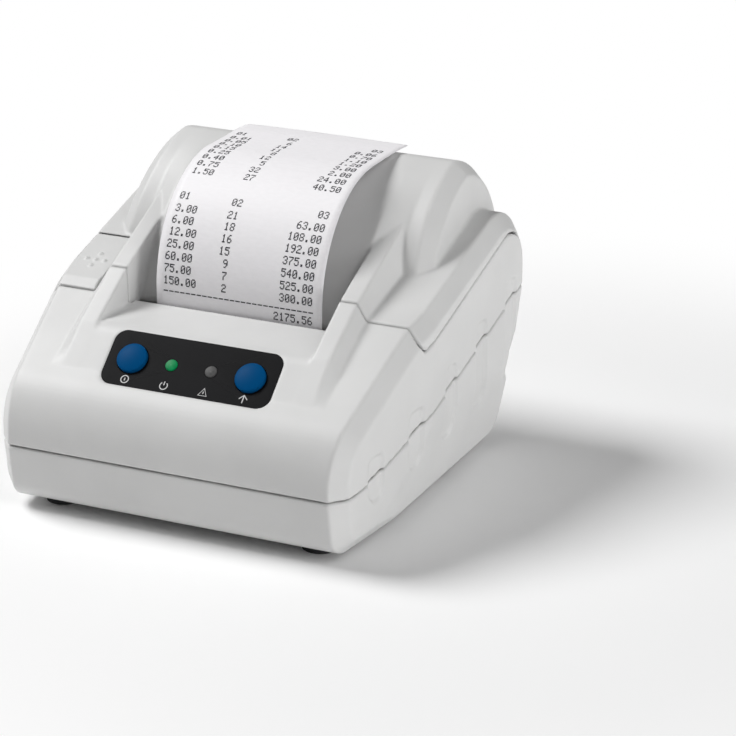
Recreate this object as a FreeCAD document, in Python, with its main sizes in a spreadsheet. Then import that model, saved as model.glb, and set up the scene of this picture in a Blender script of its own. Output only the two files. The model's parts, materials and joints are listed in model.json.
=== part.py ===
"""Receipt printer for 57 mm thermal paper, as a parametric assembly.

Frame: millimetres, +Z up, the front faces -Y, X = 0 is the plane of symmetry. The origin is on the
table, under the middle of the casing.
"""
import FreeCAD, Part
import math
import os
import re

import Sketcher

DOC = FreeCAD.newDocument("receipt_printer")
VEC = FreeCAD.Vector

# Driving dimensions, in millimetres and degrees
SIZES = {
    # casing
    "body_width": 128.0,
    "front_taper": 6.3,
    "taper_end_y": -11.0,
    "body_depth": 130.0,
    "wall": 2.2,
    "margin": 10.0,
    "seam_gap": 0.5,
    "foot_height": 3.0,
    "front_lean": 9.0,
    "belly_round": 7.0,
    "rear_lean": 20.3,
    "rear_round": 12.0,
    "side_draft": 4.4,
    "draft_top_z": 29.0,
    "slope_angle": 28.2,
    "brow_round": 20.0,
    "split_y": -19.1,
    "split_z": 62.0,
    "shoulder_angle": 15.2,
    "tail_round": 20.0,
    "chamfer_top": 3.8,
    "chamfer_side": 5.0,
    # seam between the lower and the upper case
    "seam_front_z": 21.8,
    "seam_knee_y": -50.0,
    "seam_rear_y": 60.6,
    "seam_rear_z": 51.6,
    "seam_round": 80.0,
    # side line of the cover
    "skirt_front_y": -15.8,
    "skirt_front_z": 53.8,
    "skirt_angle": 16.4,
    "skirt_rear_y": 62.0,
    "skirt_round": 14.5,
    # flutes on the sides
    "flute_first_y": -44.5,
    "flute_pitch": 23.7,
    "flute_width": 8.6,
    "flute_depth": 0.9,
    "flute_foot_z": 16.0,
    "flute_rise": 1.6,
    "flute_head": 6.0,
    # front panel and valley
    "panel_angle": 41.3,
    "panel_y": -46.4,
    "panel_z": 48.9,
    "overlay_width": 57.0,
    "overlay_height": 19.0,
    "overlay_round": 4.0,
    "overlay_thick": 0.5,
    "overlay_sink": 0.35,
    "valley_half": 36.2,
    "valley_z": 55.8,
    "valley_round": 9.0,
    "slot_front_y": -16.2,
    "slot_rear_y": -11.6,
    # ridges beside the valley
    "ridge_inner": 36.4,
    "ridge_outer": 42.3,
    "ridge_foot": 45.6,
    "ridge_start_y": -50.6,
    "ridge_split_z": 67.3,
    "ridge_angle": 24.2,
    "ridge_end_y": 34.0,
    # hump over the paper roll
    "hump_front_y": 50.8,
    "hump_front_z": 46.6,
    "hump_front_round": 50.0,
    "hump_rear_y": 38.2,
    "hump_rear_z": 69.0,
    "hump_rear_round": 26.8,
    "hump_half_foot": 56.2,
    "hump_lean": 5.5,
    "hump_chamfer": 4.0,
    "guide_z": 28.5,
    "guide_round": 68.1,
    "guide_half": 43.5,
    "crest_groove": 0.7,
    # hinge of the cover
    "hinge_y": 62.3,
    "hinge_z": 50.3,
    "knuckle_round": 2.6,
    "hinge_pin_round": 1.25,
    "knuckle_half": 40.0,
    "ear_width": 18.0,
    "hinge_pin_bite": 8.0,
    "running_gap": 0.3,
    "pin_gap": 0.05,
    # release lever on the left shoulder
    "lever_inner": 46.3,
    "lever_outer": 60.0,
    "lever_front_y": -22.8,
    "lever_rear_y": 4.2,
    "lever_thick": 2.4,
    "lever_gap": 0.5,
    "lever_undercut": 35.0,
    "lever_pin_y": -18.5,
    "lever_pin_z": 53.5,
    "lever_pin_round": 1.25,
    "lever_boss_round": 2.6,
    "dot_round": 0.9,
    "dot_pitch": 3.2,
    "lever_dot_y": -9.5,
    # keys and lights on the panel
    "key_x": 20.0,
    "key_round": 4.8,
    "key_rise": 1.9,
    "key_skirt": 2.9,
    "key_dome_round": 15.0,
    "key_stem_end": 5.0,
    "key_flange": 0.9,
    "key_flange_thick": 0.8,
    "key_gap": 0.25,
    "key_stem": 1.6,
    "light_x": 6.7,
    "light_round": 1.9,
    "light_rise": 0.6,
    # panel board
    "panel_board_drop": 8.6,
    "panel_post_x": 29.0,
    "panel_post_round": 2.2,
    "board_thick": 1.6,
    "panel_board_width": 64.0,
    "panel_board_height": 15.0,
    "switch_side": 6.0,
    "switch_height": 2.6,
    # print mechanism
    "platen_y": -9.15,
    "platen_z": 47.5,
    "platen_round": 5.5,
    "platen_half": 29.0,
    "shaft_round": 2.0,
    "bush_round": 3.5,
    "bush_proud": 0.5,
    "bracket_thick": 1.2,
    "bracket_half": 31.4,
    "bracket_screw_x": 22.0,
    "bracket_screw_z": 58.0,
    "bracket_screw_length": 4.0,
    "bracket_boss_y": -8.8,
    "bracket_boss_round": 2.7,
    "bracket_back_y": -1.4,
    "bracket_top_z": 61.0,
    "frame_half": 34.0,
    "frame_thick": 1.6,
    "frame_front_y": -27.0,
    "frame_rear_y": 1.0,
    "frame_foot_z": 15.5,
    "frame_top_z": 50.5,
    "head_gap": 0.1,
    "head_leaf_half": 12.0,
    "leaf_thick": 0.5,
    "paper_gap": 0.3,
    "sensor_x": 10.0,
    "sensor_z": 34.0,
    "head_thick": 3.6,
    "head_foot_z": 39.5,
    "head_top_z": 51.0,
    "blade_thick": 0.6,
    "blade_drop": 4.2,
    "blade_pitch": 1.5,
    "blade_tooth": 0.9,
    # gears
    "gear_module": 0.5,
    "platen_teeth": 20.0,
    "idler_teeth": 30.0,
    "pinion_teeth": 12.0,
    "gear_width": 3.0,
    "gear_offset": 1.5,
    "backlash": 0.16,
    "pinion_angle": 45.0,
    "motor_round": 9.5,
    "motor_length": 16.0,
    "motor_nose": 3.0,
    "motor_shaft_round": 1.0,
    "idler_pin_round": 1.2,
    # paper
    "paper_width": 57.0,
    "paper_thick": 0.2,
    "roll_y": 32.5,
    "roll_z": 58.0,
    "roll_round": 25.0,
    "core_round": 8.5,
    "core_bore": 6.2,
    "tray_thick": 2.0,
    "tray_half": 29.6,
    "tray_lip_y": 26.0,
    "tray_rear_z": 50.0,
    "tray_leg": 6.0,
    "web_angle": 12.9,
    "web_end_y": 22.5,
    "web_top_z": 51.6,
    "receipt_foot_z": 52.2,
    "receipt_round": 45.0,
    "receipt_centre_z": 49.5,
    "receipt_slope": 10.5,
    "receipt_run": 16.0,
    "receipt_crest_round": 40.0,
    "receipt_tail": 4.0,
    # boards, ports and fasteners
    "main_board_z": 9.0,
    "main_board_width": 50.0,
    "main_board_front_y": -36.0,
    "main_board_rear_y": 43.0,
    "board_post_x": 20.0,
    "board_post_front_y": -31.0,
    "board_post_rear_y": 26.0,
    "post_x": 29.2,
    "post_front_y": -23.0,
    "post_rear_y": -3.0,
    "standoff_round": 3.2,
    "screw_round": 1.4,
    "screw_head": 2.6,
    "screw_head_height": 1.6,
    "port_face_y": 47.5,
    "port_foot_z": 10.6,
    "port_depth": 15.0,
    "jack_x": 20.0,
    "jack_width": 9.0,
    "jack_height": 11.0,
    "jack_bore": 3.2,
    "jack_pin": 1.0,
    "data_x": 4.0,
    "data_width": 14.0,
    "data_height": 13.0,
    "data_wall": 1.6,
    "switch_x": -16.0,
    "switch_width": 15.0,
    "switch_body_height": 10.0,
    "rocker_width": 11.0,
    "rocker_height": 6.4,
    "rocker_front": 4.6,
    "rocker_back": 3.0,
    "rocker_dish": 0.8,
    "rocker_room": 8.6,
    "rocker_pin_y": 43.6,
    "rocker_pin_reach": 0.9,
    "rocker_tilt": 8.0,
    "rocker_pin_round": 1.0,
    "foot_x": 44.0,
    "foot_front_y": -49.0,
    "foot_rear_y": 30.0,
    "foot_round": 6.0,
    "foot_sink": 0.8,
    "screw_front_x": 50.0,
    "screw_front_y": -30.0,
    "screw_front_top": 53.5,
    "screw_rear_x": 53.5,
    "screw_rear_y": 18.0,
    "screw_seat_z": 6.0,
    "screw_bite": 8.0,
    "boss_round": 3.4,
}


def make_sheet():
    sheet = DOC.addObject("Spreadsheet::Sheet", "dims")
    for row, (name, number) in enumerate(SIZES.items(), start=1):
        sheet.set(f"A{row}", name)
        sheet.set(f"B{row}", repr(number))
        sheet.setAlias(f"B{row}", name)
    DOC.recompute()
    return sheet


SHEET = make_sheet()


def linked(text):
    """The expression with every size written as a cell of the sheet."""
    return re.sub(r"[a-z_]+", lambda m: "dims." + m.group() if m.group() in SIZES else m.group(), str(text))


def size(text):
    """The present value of an expression."""
    return float(SHEET.evalExpression(re.sub(r"dims\.", "", linked(text))))


def bind(item, **expressions):
    for name, text in expressions.items():
        item.setExpression(name.replace("__", "."), linked(text))
    return item


def place(item, x, y, z):
    return bind(item, Placement__Base__x=x, Placement__Base__y=y, Placement__Base__z=z)


# Primitives
def box(name, x, y, z):
    """A block between two planes on each axis."""
    item = DOC.addObject("Part::Box", name)
    bind(item, Length=f"{x[1]} - ({x[0]})", Width=f"{y[1]} - ({y[0]})", Height=f"{z[1]} - ({z[0]})")
    return place(item, x[0], y[0], z[0])


TURN = {
    "X": FreeCAD.Rotation(VEC(0, 1, 0), 90),
    "Y": FreeCAD.Rotation(VEC(1, 0, 0), -90),
    "Z": FreeCAD.Rotation(),
}


def rod(name, axis, radius, start, length):
    """A cylinder from the point start along an axis."""
    item = DOC.addObject("Part::Cylinder", name)
    item.Placement = FreeCAD.Placement(VEC(), TURN[axis])
    bind(item, Radius=radius, Height=length)
    return place(item, *start)


# Profiles: sketches whose points sit on expressions
PLANES = {
    "YZ": FreeCAD.Rotation(VEC(0, 1, 0), VEC(0, 0, 1), VEC(1, 0, 0), "ZXY"),
    "XZ": FreeCAD.Rotation(VEC(1, 0, 0), 90),
    "XY": FreeCAD.Rotation(),
}
NORMAL = {"YZ": "x", "XZ": "y", "XY": "z"}


class Outline:
    """A closed chain of lines and arcs in a sketch, with optional rounded corners."""

    def __init__(self, sketch, corners, arcs):
        self.sketch = sketch
        self.corners = corners
        self.arcs = arcs
        self.points = [VEC(size(c[0]), size(c[1]), 0) for c in corners]
        self.rounds = [size(c[2]) if len(c) > 2 else 0.0 for c in corners]
        self.draw()

    def fixed(self, geometry, end, corner):
        """Ties one end of a piece to the corner's two expressions."""
        numbers = self.points[self.corners.index(corner)]
        for kind, text, number in zip(("DistanceX", "DistanceY"), corner, numbers):
            row = self.sketch.addConstraint(Sketcher.Constraint(kind, -1, 1, geometry, end, number))
            self.sketch.setExpression(f"Constraints[{row}]", linked(text))

    def tangent_ends(self, number):
        """Where a rounded corner leaves its two lines, and the centre of its arc."""
        here = self.points[number]
        before = (self.points[number - 1] - here).normalize()
        after = (self.points[(number + 1) % len(self.points)] - here).normalize()
        half = before.getAngle(after) / 2
        reach = self.rounds[number] / math.tan(half)
        middle = (before + after).normalize() * (self.rounds[number] / math.sin(half))
        return here + before * reach, here + after * reach, here + middle

    def draw(self):
        count = len(self.points)
        ends = []
        for number in range(count):
            if self.rounds[number]:
                ends.append(self.tangent_ends(number))
            else:
                ends.append((self.points[number], self.points[number], None))
        sides = []
        for number in range(count):
            start, stop = ends[number][1], ends[(number + 1) % count][0]
            if number in self.arcs:
                sides.append(self.arc_side(number, start, stop))
            else:
                row = self.sketch.addGeometry(Part.LineSegment(start, stop))
                sides.append((row, 1, 2))
        for number in range(count):
            self.join(number, ends[number], sides[number - 1], sides[number])

    def arc_side(self, number, start, stop):
        text, turn = self.arcs[number]
        radius = size(text)
        chord = stop - start
        across = VEC(-chord.y, chord.x, 0).normalize() * turn
        centre = (start + stop) / 2 + across * math.sqrt(radius ** 2 - chord.Length ** 2 / 4)
        first, last = (start, stop) if turn > 0 else (stop, start)
        row = self.sketch.addGeometry(arc_between(centre, radius, first, last))
        limit = self.sketch.addConstraint(Sketcher.Constraint("Radius", row, radius))
        self.sketch.setExpression(f"Constraints[{limit}]", linked(text))
        return (row, 1, 2) if turn > 0 else (row, 2, 1)

    def join(self, number, ends, before, after):
        corner = self.corners[number]
        if not self.rounds[number]:
            link = Sketcher.Constraint("Coincident", before[0], before[2], after[0], after[1])
            self.sketch.addConstraint(link)
            self.fixed(after[0], after[1], corner)
            return
        start, stop, centre = ends
        turn = (start - centre).cross(stop - centre).z
        first, last = (start, stop) if turn > 0 else (stop, start)
        arc = self.sketch.addGeometry(arc_between(centre, self.rounds[number], first, last))
        near, far = (1, 2) if turn > 0 else (2, 1)
        self.sketch.addConstraint(Sketcher.Constraint("Tangent", before[0], before[2], arc, near))
        self.sketch.addConstraint(Sketcher.Constraint("Tangent", arc, far, after[0], after[1]))
        row = self.sketch.addConstraint(Sketcher.Constraint("Radius", arc, self.rounds[number]))
        self.sketch.setExpression(f"Constraints[{row}]", linked(corner[2]))
        mark = self.sketch.addGeometry(Part.Point(self.points[number]), True)
        self.fixed(mark, 1, corner)
        for side in (before[0], after[0]):
            self.sketch.addConstraint(Sketcher.Constraint("PointOnObject", mark, 1, side))


def arc_between(centre, radius, first, last):
    circle = Part.Circle(centre, VEC(0, 0, 1), radius)
    begin = math.atan2(first.y - centre.y, first.x - centre.x)
    finish = math.atan2(last.y - centre.y, last.x - centre.x)
    return Part.ArcOfCircle(circle, begin, finish)


def outline(name, plane, level, corners, arcs=None):
    """A sketch at a level on the plane's normal; corners are (u, v) or (u, v, radius)."""
    sketch = DOC.addObject("Sketcher::SketchObject", name)
    sketch.Placement = FreeCAD.Placement(VEC(), PLANES[plane])
    bind(sketch, **{"Placement__Base__" + NORMAL[plane]: level})
    Outline(sketch, corners, arcs or {})
    return sketch


def prism(name, plane, span, corners, arcs=None):
    """An outline swept along its plane's normal, from span[0] to span[1]."""
    level = span[1] if plane == "XZ" else span[0]
    item = DOC.addObject("Part::Extrusion", name)
    item.Base = outline(name + "_outline", plane, level, corners, arcs)
    item.DirMode = "Normal"
    item.Solid = True
    return bind(item, LengthFwd=f"{span[1]} - ({span[0]})")


def loft(name, sections):
    item = DOC.addObject("Part::Loft", name)
    item.Sections = sections
    item.Solid = True
    item.Ruled = True
    return item


# Booleans and copies
def fuse(name, *items):
    item = DOC.addObject("Part::MultiFuse", name)
    item.Shapes = list(items)
    return item


def common(name, *items):
    item = DOC.addObject("Part::MultiCommon", name)
    item.Shapes = list(items)
    return item


def cut(name, base, *tools):
    item = DOC.addObject("Part::Cut", name)
    item.Base = base
    item.Tool = tools[0] if len(tools) == 1 else fuse(name + "_tools", *tools)
    return item


def mirrored(name, base):
    """A copy on the other side of the plane of symmetry."""
    item = DOC.addObject("Part::Mirroring", name)
    item.Source = base
    item.Normal = VEC(1, 0, 0)
    return item


def group(name, *items):
    item = DOC.addObject("Part::Compound", name)
    item.Links = list(items)
    return item


def turned(item, axis, angle, pivot):
    """Turns an item about an axis through a pivot point."""
    DOC.recompute()
    turn = FreeCAD.Placement(VEC(), FreeCAD.Rotation(axis, angle), pivot)
    for name, _ in list(item.ExpressionEngine):
        if name.startswith("Placement"):
            item.setExpression(name, None)
    item.Placement = turn.multiply(item.Placement)
    return item


PARTS = {}


def piece(label, item):
    """Names an item as one of the printer's pieces."""
    item.Label = label
    PARTS[label] = item
    return item


# Lines of the side view
HALF_DEPTH = "body_depth / 2"
HALF_WIDTH = "body_width / 2"
FAR_X = "body_width / 2 + margin"
FAR_Y = "body_depth / 2 + margin"
FAR_Z = "hump_rear_z + hump_rear_round + margin"
LEVER_PIN_LENGTH = "body_width / 2 - wall / 2 - lever_inner + lever_gap + wall"


def shoulder_z(y):
    """Height of the shoulder behind the split."""
    return f"split_z + ({y} - split_y) * tan(shoulder_angle)"


def panel_z(y):
    """Height of the sloping panel."""
    return f"panel_z + ({y} - panel_y) * tan(panel_angle)"


def moved_corner(y, z, before, after, offset, radius=None):
    """A corner between lines of two headings, moved out by an offset; its round grows with it."""
    reach = f"({offset}) / cos((({after}) - ({before})) / 2)"
    heading = f"(({before}) + ({after})) / 2 - 90"
    corner = (f"{y} + {reach} * cos({heading})", f"{z} + {reach} * sin({heading})")
    return corner + (f"{radius} + {offset}",) if radius else corner


def wedge_corners(offset):
    """The side view of the casing without the hump, moved out by an offset."""
    belly_y = f"-{HALF_DEPTH} + (seam_front_z - foot_height) * tan(front_lean)"
    heel_y = f"{HALF_DEPTH} - (hinge_z - foot_height) * tan(rear_lean)"
    brow_z = f"split_z - (split_y + {HALF_DEPTH}) * tan(slope_angle)"
    shoulder, slope = "180 + shoulder_angle", "180 + slope_angle"
    return [
        moved_corner(belly_y, "foot_height", "front_lean - 90", "0", offset, "belly_round"),
        moved_corner(heel_y, "foot_height", "0", "90 - rear_lean", offset, "rear_round"),
        moved_corner(HALF_DEPTH, "hinge_z", "90 - rear_lean", "90", offset),
        moved_corner(HALF_DEPTH, shoulder_z(HALF_DEPTH), "90", shoulder, offset, "tail_round"),
        moved_corner("split_y", "split_z", shoulder, slope, offset),
        moved_corner(f"-{HALF_DEPTH}", brow_z, slope, "270", offset, "brow_round"),
        moved_corner(f"-{HALF_DEPTH}", "seam_front_z", "270", "270 + front_lean", offset),
    ]


def hump_corners(offset):
    """The side view of the hump, moved out by an offset, and the radii of its two arcs."""
    ahead = f"hump_front_round + {offset}"
    astern = f"hump_rear_round + {offset}"
    dy = "(hump_rear_y - hump_front_y)"
    dz = "(hump_rear_z - hump_front_z)"
    square = f"({dy} ^ 2 + {dz} ^ 2)"
    along = f"((({ahead}) ^ 2 - ({astern}) ^ 2 + {square}) / (2 * {square}))"
    across = f"sqrt(({ahead}) ^ 2 / {square} - {along} ^ 2)"
    foot_y = f"hump_front_y - sqrt(({ahead}) ^ 2 - (hump_front_z - hinge_z) ^ 2)"
    tail_y = f"hump_rear_y + {astern}"
    crest_y = f"hump_front_y + {along} * {dy} + {across} * {dz}"
    crest_z = f"hump_front_z + {along} * {dz} - {across} * {dy}"
    corners = [(foot_y, "hinge_z"), (tail_y, "hinge_z"), (tail_y, "hump_rear_z"), (crest_y, crest_z)]
    return corners, {2: (astern, 1), 3: (ahead, 1)}


def bevel(name, origin, axis, angle, flank, deep, depth):
    """A form between two flanks on turned planes that widens inwards, so that what it shares is bevelled.

    flank and deep are the outlines, as corners and arcs, at the flanks and at a depth behind them.
    """
    sections = []
    for tag, (corners, arcs), level, side in zip(("_right", "_right_deep", "_left_deep", "_left"),
                                                 (flank, deep, deep, flank),
                                                 ("0", depth, depth, "0"), (1, 1, -1, -1)):
        turn = FreeCAD.Rotation(axis, -side * angle)
        sketch = DOC.addObject("Sketcher::SketchObject", name + tag)
        sketch.Placement = FreeCAD.Placement(VEC(), turn.multiply(PLANES["YZ"]))
        inward = turn.multVec(VEC(-side, 0, 0))
        starts = (f"{side} * ({origin[0]})", origin[1], origin[2])
        place(sketch, *(f"{start} + ({level}) * ({part})" for start, part in zip(starts, inward)))
        Outline(sketch, corners, arcs)
        sections.append(sketch)
    return loft(name, sections)


def wedge(name, inset, chamfer):
    """The casing's main form, drawn in by an inset: side view, front view and plan in common, bevelled."""
    half = f"{HALF_WIDTH} - {inset}"
    high = f"{shoulder_z(HALF_DEPTH)} + margin"
    side_view = prism(name + "_side", "YZ", (f"-({FAR_X})", FAR_X), wedge_corners(f"-{inset}"))
    front_view = prism(name + "_front", "XZ", (f"-({FAR_Y})", FAR_Y), [
        (f"-({half}) + side_draft", f"foot_height + {inset}", "belly_round / 2"),
        (f"{half} - side_draft", f"foot_height + {inset}", "belly_round / 2"),
        (half, "draft_top_z"),
        (half, high),
        (f"-({half})", high),
        (f"-({half})", "draft_top_z"),
    ])
    narrow = f"{half} - ({FAR_Y} + taper_end_y) * tan(front_taper)"
    plan = prism(name + "_plan", "XY", ("-margin", high), [
        (f"-({narrow})", f"-({FAR_Y})"),
        (narrow, f"-({FAR_Y})"),
        (half, "taper_end_y"),
        (half, FAR_Y),
        (f"-({half})", FAR_Y),
        (f"-({half})", "taper_end_y"),
    ])
    drop = f"{chamfer} * chamfer_side"
    depth = f"{chamfer} * chamfer_top * 1.25"
    flank = wedge_corners(f"(-({inset}) - {drop})")
    deep = wedge_corners(f"(0.25 * {drop} - ({inset}))")
    straight = bevel(name + "_bevel", (half, "0", "0"), VEC(0, 0, 1), 0, (flank, {}), (deep, {}), depth)
    slanted = [([(f"(({c[0]}) - taper_end_y) / cos(front_taper)",) + tuple(c[1:]) for c in corners], {})
               for corners in (flank, deep)]
    front = bevel(name + "_front_bevel", (half, "taper_end_y", "0"), VEC(0, 0, 1), size("front_taper"),
                  *slanted, depth)
    return common(name, side_view, front_view, plan, straight, front)


def hump(name, inset, chamfer):
    """The round housing of the paper roll, with its flanks drawn in towards the crest."""
    side_view = prism(name + "_side", "YZ", (f"-({FAR_X})", FAR_X), *hump_corners(f"-{inset}"))
    drop = f"{chamfer} * hump_chamfer"
    outlines = []
    for offset in (f"(-({inset}) - {drop})", f"(0.25 * {drop} - ({inset}))"):
        corners, arcs = hump_corners(offset)
        outlines.append(([(c[0], f"({c[1]} - hinge_z) / cos(hump_lean)") for c in corners], arcs))
    origin = (f"hump_half_foot - {inset}", "0", "hinge_z")
    flanks = bevel(name + "_bevel", origin, VEC(0, 1, 0), size("hump_lean"), *outlines, f"1.25 * {drop}")
    return common(name, side_view, flanks)


def guide(name, inset):
    """The slide that leads the paper up the hump: full in the valley, blended out at its sides."""
    inner = f"guide_round - {inset}"
    outer = f"hump_front_round - {inset}"
    crest_y, crest_z = hump_corners(f"-{inset}")[0][3]
    base = "valley_z - wall"
    lip_y = f"hump_front_y - sqrt(({inner}) ^ 2 - (({base}) - guide_z) ^ 2)"
    foot_y = f"hump_front_y - sqrt(({outer}) ^ 2 - (({base}) - hump_front_z) ^ 2)"

    def section(tag, level, start_y, radius):
        corners = [(start_y, base), (crest_y, base), (crest_y, crest_z)]
        return outline(name + tag, "YZ", level, corners, {2: (radius, 1)})

    middle = f"valley_half - {inset}"
    edge = f"guide_half - {inset}"
    return loft(name, [
        section("_far_left", f"-({edge})", foot_y, outer),
        section("_left", f"-({middle})", lip_y, inner),
        section("_right", middle, lip_y, inner),
        section("_far_right", edge, foot_y, outer),
    ])


def ridge(name, inset):
    """The rib beside the valley: it grows out of the panel, passes the split and runs into the hump."""
    base = "valley_z - 12"

    def section(tag, y, top, foot):
        return outline(name + tag, "XZ", y, [
            (f"ridge_inner + {inset}", base),
            (f"ridge_foot - {inset}", base),
            (f"ridge_foot - {inset}", f"{foot} - 1.1 * {inset}"),
            (f"ridge_outer - {inset}", f"{top} - 1.1 * {inset}"),
            (f"ridge_inner + {inset}", f"{top} - 1.1 * {inset}"),
        ])

    start_z = panel_z("ridge_start_y")
    brow_y = "panel_y + (valley_z - panel_z) / tan(panel_angle)"
    brow_share = f"(({brow_y}) - ridge_start_y) / (split_y - ridge_start_y)"
    brow_foot = f"{start_z} + ({brow_share}) * (split_z - ({start_z}))"
    end_top = "ridge_split_z + (ridge_end_y - split_y) * tan(ridge_angle)"
    ahead = loft(name + "_ahead", [
        section("_start", "ridge_start_y", start_z + " + 0.05", start_z),
        section("_brow", brow_y, "valley_z", brow_foot),
        section("_split", "split_y", "ridge_split_z", "split_z"),
    ])
    behind = loft(name + "_behind", [
        section("_split_again", "split_y", "ridge_split_z", "split_z"),
        section("_end", "ridge_end_y", end_top, shoulder_z("ridge_end_y")),
    ])
    one_side = fuse(name + "_right", ahead, behind)
    return fuse(name, one_side, mirrored(name + "_left", one_side))


def valley(name, inset):
    """What is cut away between the ridges: above the panel, above the landing and over the slot behind it."""
    deep = "valley_z - wall"
    high = f"{shoulder_z(HALF_DEPTH)} + margin"
    start = "ridge_start_y"
    return prism(name, "YZ", (f"-(valley_half + {inset})", f"valley_half + {inset}"), [
        (start, f"{panel_z(start)} - 1.3 * {inset}"),
        ("panel_y + (valley_z - panel_z) / tan(panel_angle)", f"valley_z - {inset}", "valley_round"),
        (f"slot_front_y - {inset}", f"valley_z - {inset}"),
        (f"slot_front_y - {inset}", f"{deep} - 0.01"),
        ("hump_rear_y", f"{deep} - 0.01"),
        ("hump_rear_y", high),
        (start, high),
    ])


def panel_block(name, inset):
    """The raised middle of the front, under the panel and the landing before the slot."""
    low = "valley_z - 16"
    return prism(name, "YZ", (f"-(valley_half + 0.5) + {inset}", f"valley_half + 0.5 - {inset}"), [
        ("ridge_start_y", low),
        (f"slot_front_y - {inset}", low),
        (f"slot_front_y - {inset}", f"valley_z - {inset}"),
        ("panel_y + (valley_z - panel_z) / tan(panel_angle)", f"valley_z - {inset}", "valley_round"),
        ("ridge_start_y", f"{panel_z('ridge_start_y')} - 1.3 * {inset}"),
    ])


def casing_form(name, inset, chamfer):
    """The whole printer's outside, drawn in by an inset."""
    body = cut(name + "_body", wedge(name + "_wedge", inset, chamfer), valley(name + "_valley", inset))
    return fuse(name, body, panel_block(name + "_panel", inset), ridge(name + "_ridge", inset),
                hump(name + "_hump", inset, chamfer), guide(name + "_guide", inset))


def flutes():
    """Shallow round-ended channels down both flanks."""
    bars = []
    for number in range(5):
        left = f"flute_first_y - flute_width / 2 + {number} * flute_pitch"
        right = f"flute_first_y + flute_width / 2 + {number} * flute_pitch"
        foot = f"flute_foot_z + {number} * flute_rise"
        top = f"{seam_z(right)} + flute_head"
        bars.append(prism(f"flute_{number}", "YZ", (f"-{HALF_WIDTH}", HALF_WIDTH), [
            (left, foot, "flute_width * 0.45"),
            (right, foot, "flute_width * 0.45"),
            (right, top, "flute_width * 0.3"),
            (left, top, "flute_width * 0.3"),
        ]))
    return cut("flutes", fuse("flute_bars", *bars), wedge("flute_floor", "flute_depth", "0.9"))


def seam_z(y):
    """Height of the seam between the lower and the upper case, behind its knee."""
    return f"seam_front_z + ({y} - seam_knee_y) * (seam_rear_z - seam_front_z) / (seam_rear_y - seam_knee_y)"


def lower_region(name, gap):
    """Everything below the seam, lowered by a gap."""
    return prism(name, "YZ", (f"-({FAR_X})", FAR_X), [
        (f"-({FAR_Y})", "-margin"),
        (FAR_Y, "-margin"),
        (FAR_Y, f"hinge_z - {gap}"),
        (HALF_DEPTH, f"hinge_z - {gap}"),
        ("seam_rear_y", f"seam_rear_z - {gap}"),
        ("seam_knee_y", f"seam_front_z - {gap}", "seam_round"),
        (f"-({FAR_Y})", f"seam_front_z - {gap}"),
    ])


def cover_region(name, gap):
    """Everything behind the split and above the cover's side line, drawn in by a gap."""
    line_end = "skirt_front_z + (skirt_rear_y - skirt_front_y) * tan(skirt_angle)"
    whole = prism(name + "_whole", "YZ", (f"-({FAR_X})", FAR_X), [
        (f"split_y + {gap}", f"skirt_front_z + foot_height + {gap}"),
        ("skirt_front_y", f"skirt_front_z + {gap}"),
        (f"skirt_rear_y + {gap}", f"{line_end} + {gap}", "skirt_round"),
        (f"skirt_rear_y + {gap}", f"hinge_z + {gap}"),
        (FAR_Y, f"hinge_z + {gap}"),
        (FAR_Y, FAR_Z),
        (f"split_y + {gap}", FAR_Z),
    ])
    bay_end = f"lever_rear_y + lever_gap + {gap}"
    bay_top = shoulder_z("lever_rear_y")
    bay_foot = f"{bay_end} + 2 * wall * tan(lever_undercut)"
    left_bay = prism(name + "_bay", "YZ", (f"-({FAR_X})", f"-lever_inner + lever_gap + {gap}"), [
        ("split_y - margin", "-margin"),
        (bay_foot, "-margin"),
        (bay_foot, f"{bay_top} - 2 * wall"),
        (bay_end, bay_top),
        (bay_end, FAR_Z),
        ("split_y - margin", FAR_Z),
    ])
    landing = box(name + "_landing", (f"-valley_half - {gap}", f"valley_half + {gap}"),
                  ("split_y - margin", "slot_rear_y - 0.01"), ("-margin", FAR_Z))
    middle = box(name + "_middle", ("-ridge_foot", "ridge_foot"), (f"split_y + {gap}", "hump_rear_y"),
                 (f"valley_z - 2 * wall + {gap}", FAR_Z))
    return cut(name, fuse(name + "_sum", whole, middle), left_bay, landing)


def on_panel(item, across, up, out):
    """Stands an item on the sloping panel: across it, up its slope and out from its face."""
    item.Placement = FreeCAD.Placement(VEC(), FreeCAD.Rotation(VEC(1, 0, 0), size("panel_angle")))
    return place(item, across, f"panel_y + ({up}) * cos(panel_angle) - ({out}) * sin(panel_angle)",
                 f"panel_z + ({up}) * sin(panel_angle) + ({out}) * cos(panel_angle)")


def panel_rod(name, radius, across, up, low, high):
    item = DOC.addObject("Part::Cylinder", name)
    bind(item, Radius=radius, Height=f"{high} - ({low})")
    return on_panel(item, across, up, low)


def panel_slab(name, width, height, low, high):
    """A flat block on the panel, centred on it."""
    item = DOC.addObject("Part::Box", name)
    bind(item, Length=width, Width=height, Height=f"{high} - ({low})")
    return on_panel(item, f"-({width}) / 2", f"-({height}) / 2", low)


def panel_sheet(name, grow, low, high):
    """The overlay's rounded rectangle, grown by a clearance."""
    sketch = DOC.addObject("Sketcher::SketchObject", name + "_outline")
    across = f"overlay_width / 2 + {grow}"
    up = f"overlay_height / 2 + {grow}"
    corner = f"overlay_round + {grow}"
    Outline(sketch, [(f"-({across})", f"-({up})", corner), (across, f"-({up})", corner), (across, up, corner),
                     (f"-({across})", up, corner)], {})
    on_panel(sketch, "0", "0", low)
    item = DOC.addObject("Part::Extrusion", name)
    item.Base = sketch
    item.DirMode = "Normal"
    item.Solid = True
    return bind(item, LengthFwd=f"{high} - ({low})")


def both(x):
    """The same distance on the left and on the right."""
    return (("left", f"-({x})"), ("right", x))


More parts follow.
